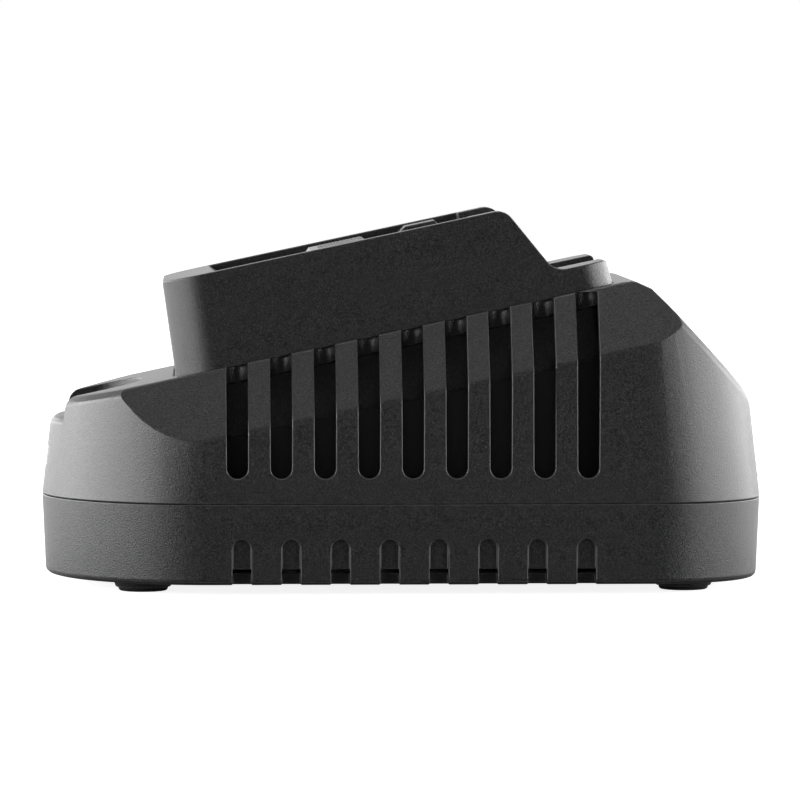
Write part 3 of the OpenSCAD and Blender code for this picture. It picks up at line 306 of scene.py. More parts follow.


# Finishes, each with what differs from the base: linear colours, roughness, gloss, bump depth in metres,
# and how dusty, and how strong the lighter edges are (painted highlight on the plastics, rubbed wear on the
# contacts)
dustColour = (0.22, 0.21, 0.2)
speckColour = (0.035, 0.035, 0.035)
unevenShare = 0.1       # how much of the roughness follows the grain
# The base edge colour is a painted highlight for the plastics; the contacts give their own lighter colour
# for rubbed wear
finishBase = {"colour": (0.5, 0.5, 0.5), "rough": 0.4, "gloss": 0.5, "metal": 0.0, "clear": 0.0, "ior": 1.46,
              "pits": 3000, "depth": 0.00001, "mottle": 0.1, "specks": 0.0, "dust": 0.03, "rub": 0.0,
              "highlightAndWearColour": (0.1, 0.1, 0.1), "lines": 0, "coat": 0.0, "tracks": False}
finishes = {
    "housingPlastic": {"colour": (0.0112, 0.0112, 0.0116), "gloss": 0.9, "depth": 0.00006, "mottle": 2.4,
                       "specks": 1.0, "dust": 0.05, "rub": 0.4},
    "dockPlastic": {"colour": (0.0088, 0.0088, 0.0091), "gloss": 0.9, "pits": 3300, "depth": 0.00005,
                    "mottle": 2.6, "specks": 1.0, "dust": 0.05, "rub": 0.3},
    "blockPlastic": {"colour": (0.012, 0.012, 0.013), "rough": 0.36, "gloss": 0.6, "rub": 0.15},
    "footRubber": {"colour": (0.008, 0.008, 0.008), "rough": 0.75, "gloss": 0.25, "pits": 1800,
                   "depth": 0.00003, "mottle": 0.3, "dust": 0.1},
    "inletPlastic": {"colour": (0.011, 0.011, 0.012), "rough": 0.3, "rub": 0.15},
    "sheetPlastic": {"colour": (0.014, 0.014, 0.0145), "rough": 0.55, "gloss": 0.25, "pits": 1500,
                     "dust": 0.02},
    "partPlastic": {"colour": (0.016, 0.016, 0.018), "rough": 0.5, "pits": 4000, "depth": 0.00002,
                    "mottle": 0.2},
    "boxPlastic": {"colour": (0.62, 0.42, 0.05), "rough": 0.35},
    "canSleeve": {"colour": (0.012, 0.03, 0.11), "rough": 0.28},
    "coilTape": {"colour": (0.62, 0.38, 0.06), "rough": 0.22, "coat": 0.3, "pits": 900, "mottle": 0.2},
    "windingEnamel": {"colour": (0.55, 0.2, 0.07), "rough": 0.25, "metal": 0.85, "coat": 0.4, "pits": 1200},
    "ferriteGrey": {"colour": (0.045, 0.045, 0.048), "rough": 0.6, "pits": 2200, "depth": 0.00003,
                    "mottle": 0.4},
    "discGlaze": {"colour": (0.03, 0.09, 0.05), "rough": 0.25, "pits": 700, "mottle": 0.3},
    "zincSteel": {"colour": (0.6, 0.6, 0.61), "rough": 0.3, "metal": 1.0, "pits": 1500, "mottle": 0.15},
    "tinPlate": {"colour": (0.72, 0.71, 0.68), "rough": 0.24, "metal": 1.0, "lines": 5000, "mottle": 0.2},
    "contactPlate": {"colour": (0.78, 0.62, 0.36), "rough": 0.22, "metal": 1.0, "lines": 6000,
                     "mottle": 0.25, "rub": 0.3, "highlightAndWearColour": (0.9, 0.82, 0.62)},
    "drawnAluminium": {"colour": (0.66, 0.66, 0.68), "rough": 0.35, "metal": 1.0, "lines": 4000,
                       "mottle": 0.3},
    "solderTin": {"colour": (0.66, 0.66, 0.65), "rough": 0.3, "metal": 1.0, "pits": 1800, "mottle": 0.3},
    "redSleeve": {"colour": (0.42, 0.012, 0.012), "rough": 0.38, "pits": 900},
    "yellowSleeve": {"colour": (0.65, 0.45, 0.03), "rough": 0.38, "pits": 900},
    "greySleeve": {"colour": (0.12, 0.12, 0.125), "pits": 900},
    "fuseGlass": {"colour": (0.92, 0.95, 0.95), "rough": 0.03, "clear": 0.95, "ior": 1.5, "dust": 0.0},
    "lampEpoxy": {"colour": (0.75, 0.86, 0.8), "rough": 0.12, "clear": 0.6, "ior": 1.54, "dust": 0.0},
    "smokedWindow": {"colour": (0.16, 0.17, 0.17), "rough": 0.2, "clear": 0.35, "ior": 1.49, "pits": 900,
                     "dust": 0.02},
    "boardLaminate": {"colour": (0.012, 0.1, 0.035), "rough": 0.33, "coat": 0.2, "pits": 1600,
                      "mottle": 0.15, "tracks": True},
}


def makeFinish(name, given):
    spec = {**finishBase, **given}
    material = bpy.data.materials.new(name)
    material.use_nodes = True
    tree = material.node_tree
    shader = tree.nodes["Principled BSDF"].inputs
    for label, key in (("Specular IOR Level", "gloss"), ("Metallic", "metal"),
                       ("Transmission Weight", "clear"), ("IOR", "ior"), ("Coat Weight", "coat")):
        shader[label].default_value = spec[key]
    kind, density = ("lines", "Lines per metre") if spec["lines"] else ("grain", "Pits per metre")
    surface = addGroup(tree, kind, {density: spec["lines"] or spec["pits"], "Mottle": spec["mottle"]})
    colour = addMix(tree, 1.0, spec["colour"], surface["Tone"], blend="MULTIPLY")
    if spec["tracks"]:
        colour = addTracks(tree, colour, trackSet)
    # Lighter rounded edges: a painted highlight on the plastics, rubbed wear on the contacts
    if spec["rub"]:
        rub = addGroup(tree, "rub", {"Amount": spec["rub"]})
        colour = addMix(tree, rub["Mask"], colour, spec["highlightAndWearColour"])
    if spec["specks"]:
        speck = addMath(tree, "MULTIPLY", surface["Speck"], spec["specks"])
        colour = addMix(tree, speck, colour, speckColour)
    if spec["dust"]:
        dust = addGroup(tree, "dust", {"Amount": spec["dust"]})
        colour = addMix(tree, dust["Mask"], colour, dustColour)
    tree.links.new(colour, shader["Base Color"])
    uneven = addMath(tree, "MULTIPLY", surface["Tone"], spec["rough"] * unevenShare)
    tree.links.new(addMath(tree, "ADD", uneven, spec["rough"] * (1 - unevenShare)), shader["Roughness"])
    bump = addNode(tree, "ShaderNodeBump", {"Distance": spec["depth"], "Height": surface["Height"]})
    tree.links.new(bump["Normal"], shader["Normal"])
    return material


materials = {name: makeFinish(name, spec) for name, spec in finishes.items()}
print("materials made:", len(materials))


# Meshes of the CAD solids with rounded edges
def addPiece(name, mesh, finish, slot, *nodes):
    piece = addObject(name, mesh)
    mesh.materials.clear()
    for label in (finish if isinstance(finish, tuple) else (finish,)):
        mesh.materials.append(materials[label])
    if nodes:
        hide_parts(*nodes)
    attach(piece, "root")


def evaluatedMesh(piece):
    evaluated = piece.evaluated_get(bpy.context.evaluated_depsgraph_get())
    done = bpy.data.meshes.new_from_object(evaluated)
    bpy.data.objects.remove(piece)
    return done


def meshFrom(work, name, sharpAngle=None):
    mesh = bpy.data.meshes.new(name)
    work.to_mesh(mesh)
    work.free()
    if sharpAngle:
        mesh.set_sharp_from_angle(angle=math.radians(sharpAngle))
    return mesh


# The CAD mesh of a node with near corners merged and, where asked, its flat faces joined
def cadWork(nodeName, merge, flat=0):
    work = bmesh.new()
    work.from_mesh(cadNodes[nodeName].data)
    bmesh.ops.remove_doubles(work, verts=work.verts, dist=merge * mm)
    if flat:
        bmesh.ops.dissolve_limit(work, angle_limit=math.radians(flat), verts=work.verts, edges=work.edges)
    return work


# How solids get their round edges, in millimetres and degrees
roundingSet = {
    "segments": 3,
    "flat": 0.6,            # a smaller turn between two faces is no edge
    "merge": 0.03,          # corners of the mesh closer than this are one
    "fineRadius": 0.2,      # a smaller edge radius merges less and can't overlap
    "fineMerge": 0.01,
    "footReach": 0.02,      # how far above the lowest point a shell still counts as its foot
    "sliver": 0.07,         # a thinner face joins the neighbour on its longest side
    "sliverRuns": 3,
    "foldArea": 0.3,        # square millimetres, smaller folded triangles don't show
    "foldTurn": 0.3,        # cosine between a folded triangle and its face
    "spike": 0.15,          # a corner this far out of the solid is a spike
    "sharpReach": 1.5,      # edges this near a fold or a spike stay sharp
    "tries": 4,
    "fade": 20,             # turn past the smallest corner at which an edge has its full radius
    "softTurn": 26,         # flat faces that turn less than this shade as one
    "edgeTurn": 62,         # the same for a rounded edge and the faces beside it
}


def dropSlivers(work):
    for _ in range(roundingSet["sliverRuns"]):
        joints = {}
        for face in work.faces:
            longest = max(face.edges, key=lambda edge: edge.calc_length())
            thin = face.calc_area() < roundingSet["sliver"] * mm * longest.calc_length()
            if thin and len(longest.link_faces) == 2:
                joints[longest] = True
        if not joints:
            return
        bmesh.ops.dissolve_edges(work, edges=list(joints), use_verts=False)


# Triangles that fold over when their face is cut up
def foldedTriangles(work):
    for loops in work.calc_loop_triangles():
        first, second, third = (loop.vert.co for loop in loops)
        across = (second - first).cross(third - first)
        large = across.length > 2 * roundingSet["foldArea"] * mm * mm
        if large and across.normalized().dot(loops[0].face.normal) < roundingSet["foldTurn"]:
            yield loops


# Cuts up faces that would fold, so that no fold is left in them
def openFolds(work):
    folded = list(dict.fromkeys(loops[0].face for loops in foldedTriangles(work)))
    bmesh.ops.triangulate(work, faces=folded, quad_method="BEAUTY", ngon_method="BEAUTY")
    work.normal_update()


# The shortest side of each folded triangle, as two places
def foldedSpots(mesh):
    work = bmesh.new()
    work.from_mesh(mesh)
    spots = []
    for loops in foldedTriangles(work):
        sides = [(loops[turn].vert.co.copy(), loops[turn - 1].vert.co.copy()) for turn in range(3)]
        spots += min(sides, key=lambda side: (side[0] - side[1]).length)
    work.free()
    return spots


def proudSpots(mesh, solid):
    spots = []
    for vertex in mesh.vertices:
        near, normal, _, gap = solid.find_nearest(vertex.co)
        if gap > roundingSet["spike"] * mm and (vertex.co - near).dot(normal) > 0:
            spots.append(vertex.co.copy())
    return spots


# Sharp corners get the full radius and blunt ones less, so that a rounding runs out softly
def weighCorners(work, corner, sharpSpots):
    spots = KDTree(len(sharpSpots))
    for index, spot in enumerate(sharpSpots):
        spots.insert(spot, index)
    spots.balance()
    name = "bevel_weight_edge"
    weight = work.edges.layers.float.get(name) or work.edges.layers.float.new(name)
    for edge in work.edges:
        if len(edge.link_faces) == 2:
            turn = math.degrees(edge.calc_face_angle())
            near = any(spots.find_range(vertex.co, roundingSet["sharpReach"] * mm) for vertex in edge.verts)
            edge[weight] = 0.0 if near else min(1.0, max(0.0, (turn - corner) / roundingSet["fade"]))


# Faces of the solid have material index 0 and those of a rounding 1
def bevelledMesh(work, name, radius):
    mesh = bpy.data.meshes.new(name)
    work.to_mesh(mesh)
    mesh.materials.clear()
    for _ in range(2):
        mesh.materials.append(materials["partPlastic"])
    for face in mesh.polygons:
        face.material_index = 0
    holder = addObject(name, mesh)
    bevel = holder.modifiers.new("edges", "BEVEL")
    bevel.width = radius * mm
    bevel.segments = roundingSet["segments"]
    bevel.limit_method = "WEIGHT"
    bevel.use_clamp_overlap = radius < roundingSet["fineRadius"]
    bevel.miter_outer = "MITER_ARC"
    bevel.material = 1
    return evaluatedMesh(holder)


# Flat and gently curved faces keep their own direction; rounded edges blend between them
def settleNormals(mesh):
    soft, wide = (math.cos(math.radians(roundingSet[key])) for key in ("softTurn", "edgeTurn"))
    directions = [face.normal.copy() for face in mesh.polygons]
    areas = [face.area for face in mesh.polygons]
    rounded = [face.material_index == 1 for face in mesh.polygons]
    around = [[] for _ in mesh.vertices]
    for face in mesh.polygons:
        for corner in face.loop_indices:
            around[mesh.loops[corner].vertex_index].append((face.index, corner))
    split = [None] * len(mesh.loops)
    # Corners inside a rounding mark the edges that the finishes lighten, a painted highlight on the plastics
    # and rubbed wear on the contacts
    rub = mesh.attributes.new("edge", "FLOAT", "POINT")
    for vertexIndex, ring in enumerate(around):
        if ring and all(rounded[index] for index, _ in ring):
            rub.data[vertexIndex].value = 1.0
        for index, corner in ring:
            total = Vector()
            for kind, reach in ((False, wide if rounded[index] else soft), (True, wide)):
                if total.length == 0:
                    for other, _ in ring:
                        if rounded[other] == kind and directions[index].dot(directions[other]) > reach:
                            total += directions[other] * areas[other]
            split[corner] = total.normalized() if total.length > 0 else directions[index]
    for face in mesh.polygons:
        face.material_index = 0
        face.use_smooth = True
    mesh.normals_split_custom_set(split)


def roundedMesh(nodeName, spec):
    radius = spec["radius"]
    merge = roundingSet["fineMerge" if radius < roundingSet["fineRadius"] else "merge"]
    work = cadWork(nodeName, merge, roundingSet["flat"])
    if spec["liftFoot"]:
        foot = min(vertex.co.z for vertex in work.verts)
        for vertex in work.verts:
            if vertex.co.z < foot + roundingSet["footReach"] * mm:
                vertex.co.z += spec["liftFoot"] * mm
    dropSlivers(work)
    openFolds(work)
    solid = BVHTree.FromBMesh(work)
    sharpSpots = []
    for _ in range(roundingSet["tries"]):
        weighCorners(work, spec["corner"], sharpSpots)
        mesh = bevelledMesh(work, nodeName + "Work", radius)
        found = foldedSpots(mesh) + proudSpots(mesh, solid)
        if not found:
            break
        sharpSpots += found
    work.free()
    settleNormals(mesh)
    return mesh


slots = {part["node"]: part["material_slot"] for part in frame["record"]["subparts"]}

# Edge radius in millimetres, the smallest corner that gets it in degrees, and the open seam under a shell;
# each gives what differs from the base
edgeBase = {"radius": 0.2, "corner": 25, "liftFoot": 0.0}
softEdges = {
    "upper_shell": {"finish": "housingPlastic", "radius": 0.3, "corner": 18, "liftFoot": 0.1},
    "lower_shell": {"finish": "housingPlastic", "radius": 0.3, "corner": 18},
    "dock": {"finish": "dockPlastic", "radius": 0.3, "corner": 18},
    "terminal_block": {"finish": "blockPlastic", "corner": 20},
    "power_contacts": {"finish": "contactPlate", "radius": 0.12, "corner": 20},
    "signal_contacts": {"finish": "contactPlate", "radius": 0.1, "corner": 20},
    "mains_inlet": {"finish": "inletPlastic", "radius": 0.3, "corner": 20},
    "inlet_pins": {"finish": "tinPlate"},
    "insulation_sheets": {"finish": "sheetPlastic", "radius": 0.1, "corner": 20},
    "circuit_board": {"finish": "boardLaminate", "radius": 0.1},
    "lamp_board": {"finish": "boardLaminate", "radius": 0.1},
    "fuse_clips": {"finish": "tinPlate", "radius": 0.12},
    "filter_capacitor": {"finish": "boxPlastic", "radius": 0.4},
    "choke_core": {"finish": "ferriteGrey", "radius": 0.5},
    "choke_base": {"finish": "partPlastic"},
    "inrush_thermistor": {"finish": "discGlaze", "radius": 1.2},
    "bridge_rectifier": {"finish": "partPlastic", "radius": 0.3},
    "transformer_core": {"finish": "ferriteGrey", "radius": 0.3},
    "transformer_coil": {"finish": "coilTape", "radius": 0.4},
    "primary_heatsink": {"finish": "drawnAluminium"},
    "secondary_heatsink": {"finish": "drawnAluminium"},
    "switching_transistor": {"finish": ("partPlastic", "tinPlate")},
    "output_rectifier": {"finish": ("partPlastic", "tinPlate")},
    "optocoupler": {"finish": "partPlastic", "radius": 0.25},
    "control_chip": {"finish": "partPlastic", "radius": 0.15},
    "status_window": {"finish": "smokedWindow", "radius": 0.25},
}
# Where the moulded body of a part with a metal tab and legs begins and ends over its foot, in millimetres
mouldedFrom, mouldedTo = 2.9, 12.1

for nodeName, given in softEdges.items():
    spec = {**edgeBase, **given}
    pieceMesh = roundedMesh(nodeName, spec)
    addPiece(nodeName + "Rounded", pieceMesh, spec["finish"], slots[nodeName], nodeName)
    if isinstance(spec["finish"], tuple):
        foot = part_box(nodeName)[0][2]
        for face in pieceMesh.polygons:
            moulded = foot + mouldedFrom * mm < face.center.z < foot + mouldedTo * mm
            face.material_index = 0 if moulded else 1
print("solids rounded:", len(softEdges))


# Faces between rings of corners, where a ring of one corner closes the end
def addRing(work, radii, height):
    turns = [math.tau * side / len(radii) for side in range(len(radii))]
    return [work.verts.new((radius * mm * math.cos(turn), radius * mm * math.sin(turn), height * mm))
            for radius, turn in zip(radii, turns)]


def bridgeRings(work, rings, smooth=True, changeAt=math.inf):
    for step, (low, high) in enumerate(zip(rings, rings[1:])):
        for side in range(max(len(low), len(high))):
            places = ((low, side), (low, side + 1), (high, side + 1), (high, side))
            corners = list(dict.fromkeys(ring[turn % len(ring)] for ring, turn in places))
            if len(corners) > 2:
                face = work.faces.new(corners)
                face.material_index = int(step >= changeAt)
                face.smooth = smooth


# Round pieces turned from a profile of radius and height, in millimetres; from the step changeAt on the
# second material is used
turnedSharp = 38     # degrees from which an edge of a turned piece is sharp


def turnedMesh(name, profile, place, sides=48, changeAt=math.inf):
    work = bmesh.new()
    rings = [addRing(work, [radius] * sides if radius else [0], height) for radius, height in profile]
    bridgeRings(work, rings, changeAt=changeAt)
    bmesh.ops.recalc_face_normals(work, faces=work.faces)
    bmesh.ops.transform(work, matrix=place, verts=work.verts)
    return meshFrom(work, name, turnedSharp)


def joinMeshes(name, meshes):
    work = bmesh.new()
    for mesh in meshes:
        work.from_mesh(mesh)
    return meshFrom(work, name, turnedSharp)


# Separate solids of one CAD node: points, middle and corners of the box of each
solidMerge = 0.005     # millimetres


def solidsOf(nodeName):
    work = cadWork(nodeName, solidMerge)
    waiting, found = set(work.verts), []
    while waiting:
        group, front = set(), [waiting.pop()]
        while front:
            vertex = front.pop()
            group.add(vertex)
            for edge in vertex.link_edges:
                other = edge.other_vert(vertex)
                if other in waiting:
                    waiting.discard(other)
                    front.append(other)
        points = [vertex.co.copy() for vertex in group]
        low, high = (Vector([limit(point[axis] for point in points) for axis in range(3)])
                     for limit in (min, max))
        found.append({"low": low, "high": high, "middle": (low + high) / 2, "points": points})
    work.free()
    return sorted(found, key=lambda solid: (round(solid["middle"].x, 4), round(solid["middle"].y, 4)))


# Rubber feet with concentric grip ridges on the sole; the ridge places are shares of their pitch
footSet = {"ridges": 4, "firstRidge": 0.4, "ridgePlaces": (0, 0.2, 0.5, 0.7), "lastGap": 0.5,
           "ridgeDepth": 0.35, "ridgeInset": 0.04, "soleRing": 0.25, "bead": 0.25, "rim": 0.7,
           "rimTurns": (22, 45, 68, 90)}


def makeFoot(nodeName, spec):
    low, high = map(Vector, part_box(nodeName))
    radius, height = (high.x - low.x) / 2 / mm, (high.z - low.z) / mm
    deep, inset, rim, bead = spec["ridgeDepth"], spec["ridgeInset"], spec["rim"], spec["bead"]
    inner = radius - rim
    pitch = inner / (spec["ridges"] + spec["lastGap"])
    profile = [(0, deep)]
    for ridge in range(spec["ridges"]):
        start = ridge + spec["firstRidge"]
        profile += [((start + share) * pitch, level)
                    for share, level in zip(spec["ridgePlaces"], (deep, inset, inset, deep))]
    profile += [(inner - spec["soleRing"], 0.0), (inner, 0.0)]
    for turn in map(math.radians, spec["rimTurns"]):
        profile.append((inner + rim * math.sin(turn), rim * (1 - math.cos(turn))))
    profile += [(radius, height - bead), (radius - bead, height), (0, height)]
    place = Matrix.Translation(((low.x + high.x) / 2, (low.y + high.y) / 2, low.z))
    mesh = turnedMesh(nodeName, profile, place)
    addPiece(nodeName + "Turned", mesh, "footRubber", slots[nodeName], nodeName)


for nodeName in ("foot_front_left", "foot_front_right", "foot_rear_left", "foot_rear_right"):
    makeFoot(nodeName, footSet)
print("feet turned")


# Cans of the electrolytic capacitors: sleeve over the rim, bare top with a shallow dish. Shares of the
# radius, but lip depth and dish in millimetres
canSet = {"sleeveOver": 0.13, "rim": 0.1, "bead": 0.2, "rimDrop": 0.3, "lipDepth": 0.12, "dish": 0.25,
          "dishTaper": 0.96, "sides": 56}


def makeCans(nodeName, spec):
    meshes = []
    for solid in solidsOf(nodeName):
        radius = (solid["high"].x - solid["low"].x) / 2 / mm
        height = (solid["high"].z - solid["low"].z) / mm
        rim, bead = spec["rim"] * radius, spec["bead"] * radius
        drop = rim * spec["rimDrop"]
        lip = radius * (1 - spec["sleeveOver"])
        sleeve = [(0, 0), (radius - rim, 0), (radius, rim), (radius, bead),
                  (radius - rim / 2, bead + rim / 2), (radius, bead + rim), (radius, height - rim),
                  (radius - drop, height - drop), (radius - rim, height), (lip, height),
                  (lip, height - spec["lipDepth"])]
        top = [(lip * spec["dishTaper"], height - spec["dish"]), (0, height - spec["dish"])]
        place = Matrix.Translation((solid["middle"].x, solid["middle"].y, solid["low"].z))
        meshes.append(turnedMesh(nodeName, sleeve + top, place, spec["sides"], len(sleeve) - 1))
    mesh = joinMeshes(nodeName, meshes)
    addPiece(nodeName + "Cans", mesh, ("canSleeve", "drawnAluminium"), slots[nodeName], nodeName)


for nodeName in ("reservoir_capacitor", "output_capacitors"):
    makeCans(nodeName, canSet)


# Mains fuse: glass tube, two pressed caps and the wire inside
fuseSet = {"cap": 5.0, "capEdge": 0.3, "capWall": 0.6, "capPlay": 0.02, "glass": 2.3, "bore": 1.9,
           "tubeInset": 1, "wire": 0.12, "metalSides": 32}


def makeFuse(nodeName, spec):
    low, high = map(Vector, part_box(nodeName))
    radius, length = (high.z - low.z) / 2 / mm, (high.x - low.x) / mm
    start = Matrix.Translation((low.x, (low.y + high.y) / 2, (low.z + high.z) / 2))
    place = start @ Matrix.Rotation(math.radians(90), 4, "Y")
    cap, edge, wall, glass, bore = (spec[key] for key in ("cap", "capEdge", "capWall", "glass", "bore"))
    inset, inner = spec["tubeInset"], spec["glass"] + spec["capPlay"]
    tube = [(bore, inset), (glass, inset), (glass, length - inset), (bore, length - inset), (bore, inset)]
    addPiece("fuseTube", turnedMesh("fuseTube", tube, place), "fuseGlass", slots[nodeName], nodeName)
    front = [(0, 0), (radius - edge, 0), (radius, edge), (radius, cap), (inner, cap), (inner, wall),
             (0, wall)]
    rear = [(out, length - along) for out, along in front]
    strand = [(0, wall), (spec["wire"], wall), (spec["wire"], length - wall), (0, length - wall)]
    metal = [turnedMesh("cap", profile, place, spec["metalSides"]) for profile in (front, rear, strand)]
    addPiece("fuseCaps", joinMeshes("fuseCaps", metal), "tinPlate", "tinned_metal")


makeFuse("mains_fuse", fuseSet)


# Status lamps: round bodies with a collar and a domed end towards the window
lampSet = {"collarHeight": 0.5, "waist": 1.3, "domeStep": 15, "sides": 32}


def makeLamps(nodeName, spec):
    waist, collar = spec["waist"], spec["collarHeight"]
    meshes = []
    for solid in solidsOf(nodeName):
        radius = (solid["high"].z - solid["low"].z) / 2 / mm
        length = (solid["high"].x - solid["low"].x) / mm
        profile = [(0, 0), (radius, 0), (radius, collar), (waist, collar)]
        for turn in map(math.radians, range(0, 90, spec["domeStep"])):
            profile.append((waist * math.cos(turn), length - waist * (1 - math.sin(turn))))
        start = Matrix.Translation((solid["high"].x, solid["middle"].y, solid["middle"].z))
        place = start @ Matrix.Rotation(math.radians(-90), 4, "Y")
        meshes.append(turnedMesh(nodeName, profile + [(0, length)], place, spec["sides"]))
    addPiece(nodeName + "Domed", joinMeshes(nodeName, meshes), "lampEpoxy", slots[nodeName], nodeName)


makeLamps("status_lamps", lampSet)
print("turned parts made")


# Geometry Nodes: a tree with named inputs, and a piece grown by it
def makeTree(name, inputs):
    tree = bpy.data.node_groups.new(name, "GeometryNodeTree")
    tree.interface.new_socket("Geometry", in_out="INPUT", socket_type="NodeSocketGeometry")
    for label, (kind, value) in inputs.items():
        socket = tree.interface.new_socket(label, in_out="INPUT", socket_type="NodeSocket" + kind)
        if value is not None:
            socket.default_value = value
    tree.interface.new_socket("Geometry", in_out="OUTPUT", socket_type="NodeSocketGeometry")
    return tree, tree.nodes.new("NodeGroupInput").outputs, tree.nodes.new("NodeGroupOutput").inputs


def growMesh(name, tree, mesh, values):
    holder = addObject(name, mesh)
    modifier = holder.modifiers.new(name, "NODES")
    modifier.node_group = tree
    for item in tree.interface.items_tree:
        if item.in_out == "INPUT" and item.name in values:
            modifier[item.identifier] = values[item.name]
    return evaluatedMesh(holder)


def finishTree(tree, given, result, geometry):
    real = addNode(tree, "GeometryNodeRealizeInstances", {0: geometry})
    painted = addNode(tree, "GeometryNodeSetMaterial", {"Geometry": real[0], "Material": given["Finish"]})
    tree.links.new(painted[0], result[0])


# Sets one template at every point, turned to the point's aim and twisted at random about it
def makeSetTree():
    tree, given, result = makeTree("setAtPoints", {"Template": ("Object", None), "Twist": ("Float", 0.0),
                                                   "Seed": ("Int", 1), "Finish": ("Material", None)})
    template = addNode(tree, "GeometryNodeObjectInfo", {"Object": given["Template"]})
    aim = addNode(tree, "GeometryNodeInputNamedAttribute", {"Name": "aim"}, data_type="FLOAT_VECTOR")
    align = addNode(tree, "FunctionNodeAlignRotationToVector", {"Vector": aim["Attribute"]}, axis="Z")
    placed = addNode(tree, "GeometryNodeInstanceOnPoints", {
        "Points": given["Geometry"], "Instance": template["Geometry"], "Rotation": align[0]})
    least = addMath(tree, "MULTIPLY", given["Twist"], -1.0)
    limits = {"Min": least, "Max": given["Twist"], "Seed": given["Seed"]}
    twist = addNode(tree, "FunctionNodeRandomValue", limits, data_type="FLOAT")
    turn = addNode(tree, "ShaderNodeCombineXYZ", {"Z": next(socket for socket in twist if socket.enabled)})
    turned = addNode(tree, "GeometryNodeRotateInstances", {"Instances": placed[0], "Rotation": turn[0]})
    finishTree(tree, given, result, turned[0])
    return tree


setTree = makeSetTree()


# The template mesh at points that each hold a place and an aim
def setAtPoints(name, templateMesh, points, spec, finish):
    mesh = bpy.data.meshes.new(name + "Places")
    mesh.from_pydata([place for place, _ in points], [], [])
    aim = mesh.attributes.new("aim", "FLOAT_VECTOR", "POINT")
    for index, (_, direction) in enumerate(points):
        aim.data[index].vector = direction
    template = addObject(name + "Template", templateMesh)
    grown = growMesh(name, setTree, mesh, {
        "Template": template, "Twist": spec["twist"], "Seed": spec["seed"], "Finish": materials[finish]})
    bpy.data.objects.remove(template)
    return grown


# Screws: a helical thread, a pan head and a cross recess; the head is at z = 0 and the tip points up.
# The crown of the head gives shares of its radius and height
screwSet = {
    "housing_screws": {"shank": 3.0, "head": 6.0, "headHeight": 2.2, "pitch": 1.25, "bare": 2.0, "seed": 3},
    "dock_screws": {"shank": 2.6, "head": 4.8, "headHeight": 1.8, "pitch": 1.0, "bare": 1.0, "seed": 4},
    "board_screws": {"shank": 2.6, "head": 5.0, "headHeight": 1.8, "pitch": 1.0, "bare": 1.2, "seed": 5},
}
screwBase = {"crown": ((0, 0), (0.64, 0), (0.86, 0.2), (0.97, 0.5), (1, 0.8), (1, 1)), "sides": 16,
             "stepsPerTurn": 6, "threadDepth": 0.11, "crestSlope": 4, "fadeIn": 4, "fadeOut": 8,
             "tipTaper": 0.8, "overlap": 0.3, "stemEnd": 0.01, "sharp": 35, "recess": 0.62,
             "recessDepth": 0.62, "recessTaper": 0.6, "bladeShare": 0.16, "tipReach": 0.4, "twist": 0.8}


def crossCutter(spec):
    radius, depth = spec["head"] / 2 * spec["recess"] * mm, spec["headHeight"] * spec["recessDepth"] * mm
    work = bmesh.new()
    for turn in (0, 90):
        spin = Matrix.Rotation(math.radians(turn), 4, "Z")
        for vertex in bmesh.ops.create_cube(work, size=1)["verts"]:
            outer = vertex.co.z < 0
            vertex.co = spin @ Vector((vertex.co.x * 2 * radius * (1 if outer else spec["recessTaper"]),
                                       vertex.co.y * 2 * radius * spec["bladeShare"],
                                       -1 * mm if outer else depth))
    return meshFrom(work, "crossCutter")


def screwMesh(spec, length):
    shank, head, rise = spec["shank"] / 2, spec["head"] / 2, spec["headHeight"]
    sides, pitch, deep = spec["sides"], spec["pitch"], spec["threadDepth"] * spec["shank"]
    core, start, tip = shank - deep, rise + spec["bare"], length - spec["tipTaper"] * shank
    crown = [(head * out, rise * up) for out, up in spec["crown"]]
    stem = [(core, rise), (core, start), (core, start + spec["stemEnd"]),
            (0, start + 2 * spec["stemEnd"])]
    work = bmesh.new()
    work.from_mesh(turnedMesh("screw", crown + stem, Matrix(), sides))
    span = tip - rise - spec["bare"]
    count = int(span / pitch * spec["stepsPerTurn"])
    rings = []
    for step in range(count + 1):
        height = start + span * step / count
        fade = min(1.0, step / spec["fadeIn"], (count - step) / spec["fadeOut"])
        phases = [(height / pitch - side / sides) % 1.0 for side in range(sides)]
        crests = [max(0.0, 1 - abs(phase - 0.5) * spec["crestSlope"]) * fade for phase in phases]
        rings.append(addRing(work, [core + deep * crest for crest in crests], height))
    ends = [addRing(work, [0], start - spec["overlap"]), addRing(work, [0], length)]
    bridgeRings(work, ends[:1] + rings + ends[1:])
    bmesh.ops.recalc_face_normals(work, faces=work.faces)
    return meshFrom(work, "screwWhole", spec["sharp"])


def makeScrews(nodeName, spec):
    placed = []
    for solid in solidsOf(nodeName):
        points = solid["points"]
        middle = sum(points, Vector()) / len(points)
        farthest = max(points, key=lambda point: (point - middle).length)
        tip = [point for point in points if (point - farthest).length < spec["tipReach"] * mm]
        direction = (sum(tip, Vector()) / len(tip) - middle).normalized()
        reach = [(point - middle).dot(direction) for point in points]
        placed.append((middle + direction * min(reach), direction))
    length = (max(reach) - min(reach)) / mm      # alike for all screws of a kind
    screw = addObject(nodeName, screwMesh(spec, length))
    cutter = addObject("crossCutter", crossCutter(spec))
    cut = screw.modifiers.new("recess", "BOOLEAN")
    cut.operation = "DIFFERENCE"
    cut.solver = "EXACT"
    cut.use_self = True
    cut.object = cutter
    cutMesh = evaluatedMesh(screw)
    bpy.data.objects.remove(cutter)
    mesh = setAtPoints(nodeName, cutMesh, placed, spec, "zincSteel")
    addPiece(nodeName + "Threaded", mesh, "zincSteel", slots[nodeName], nodeName)


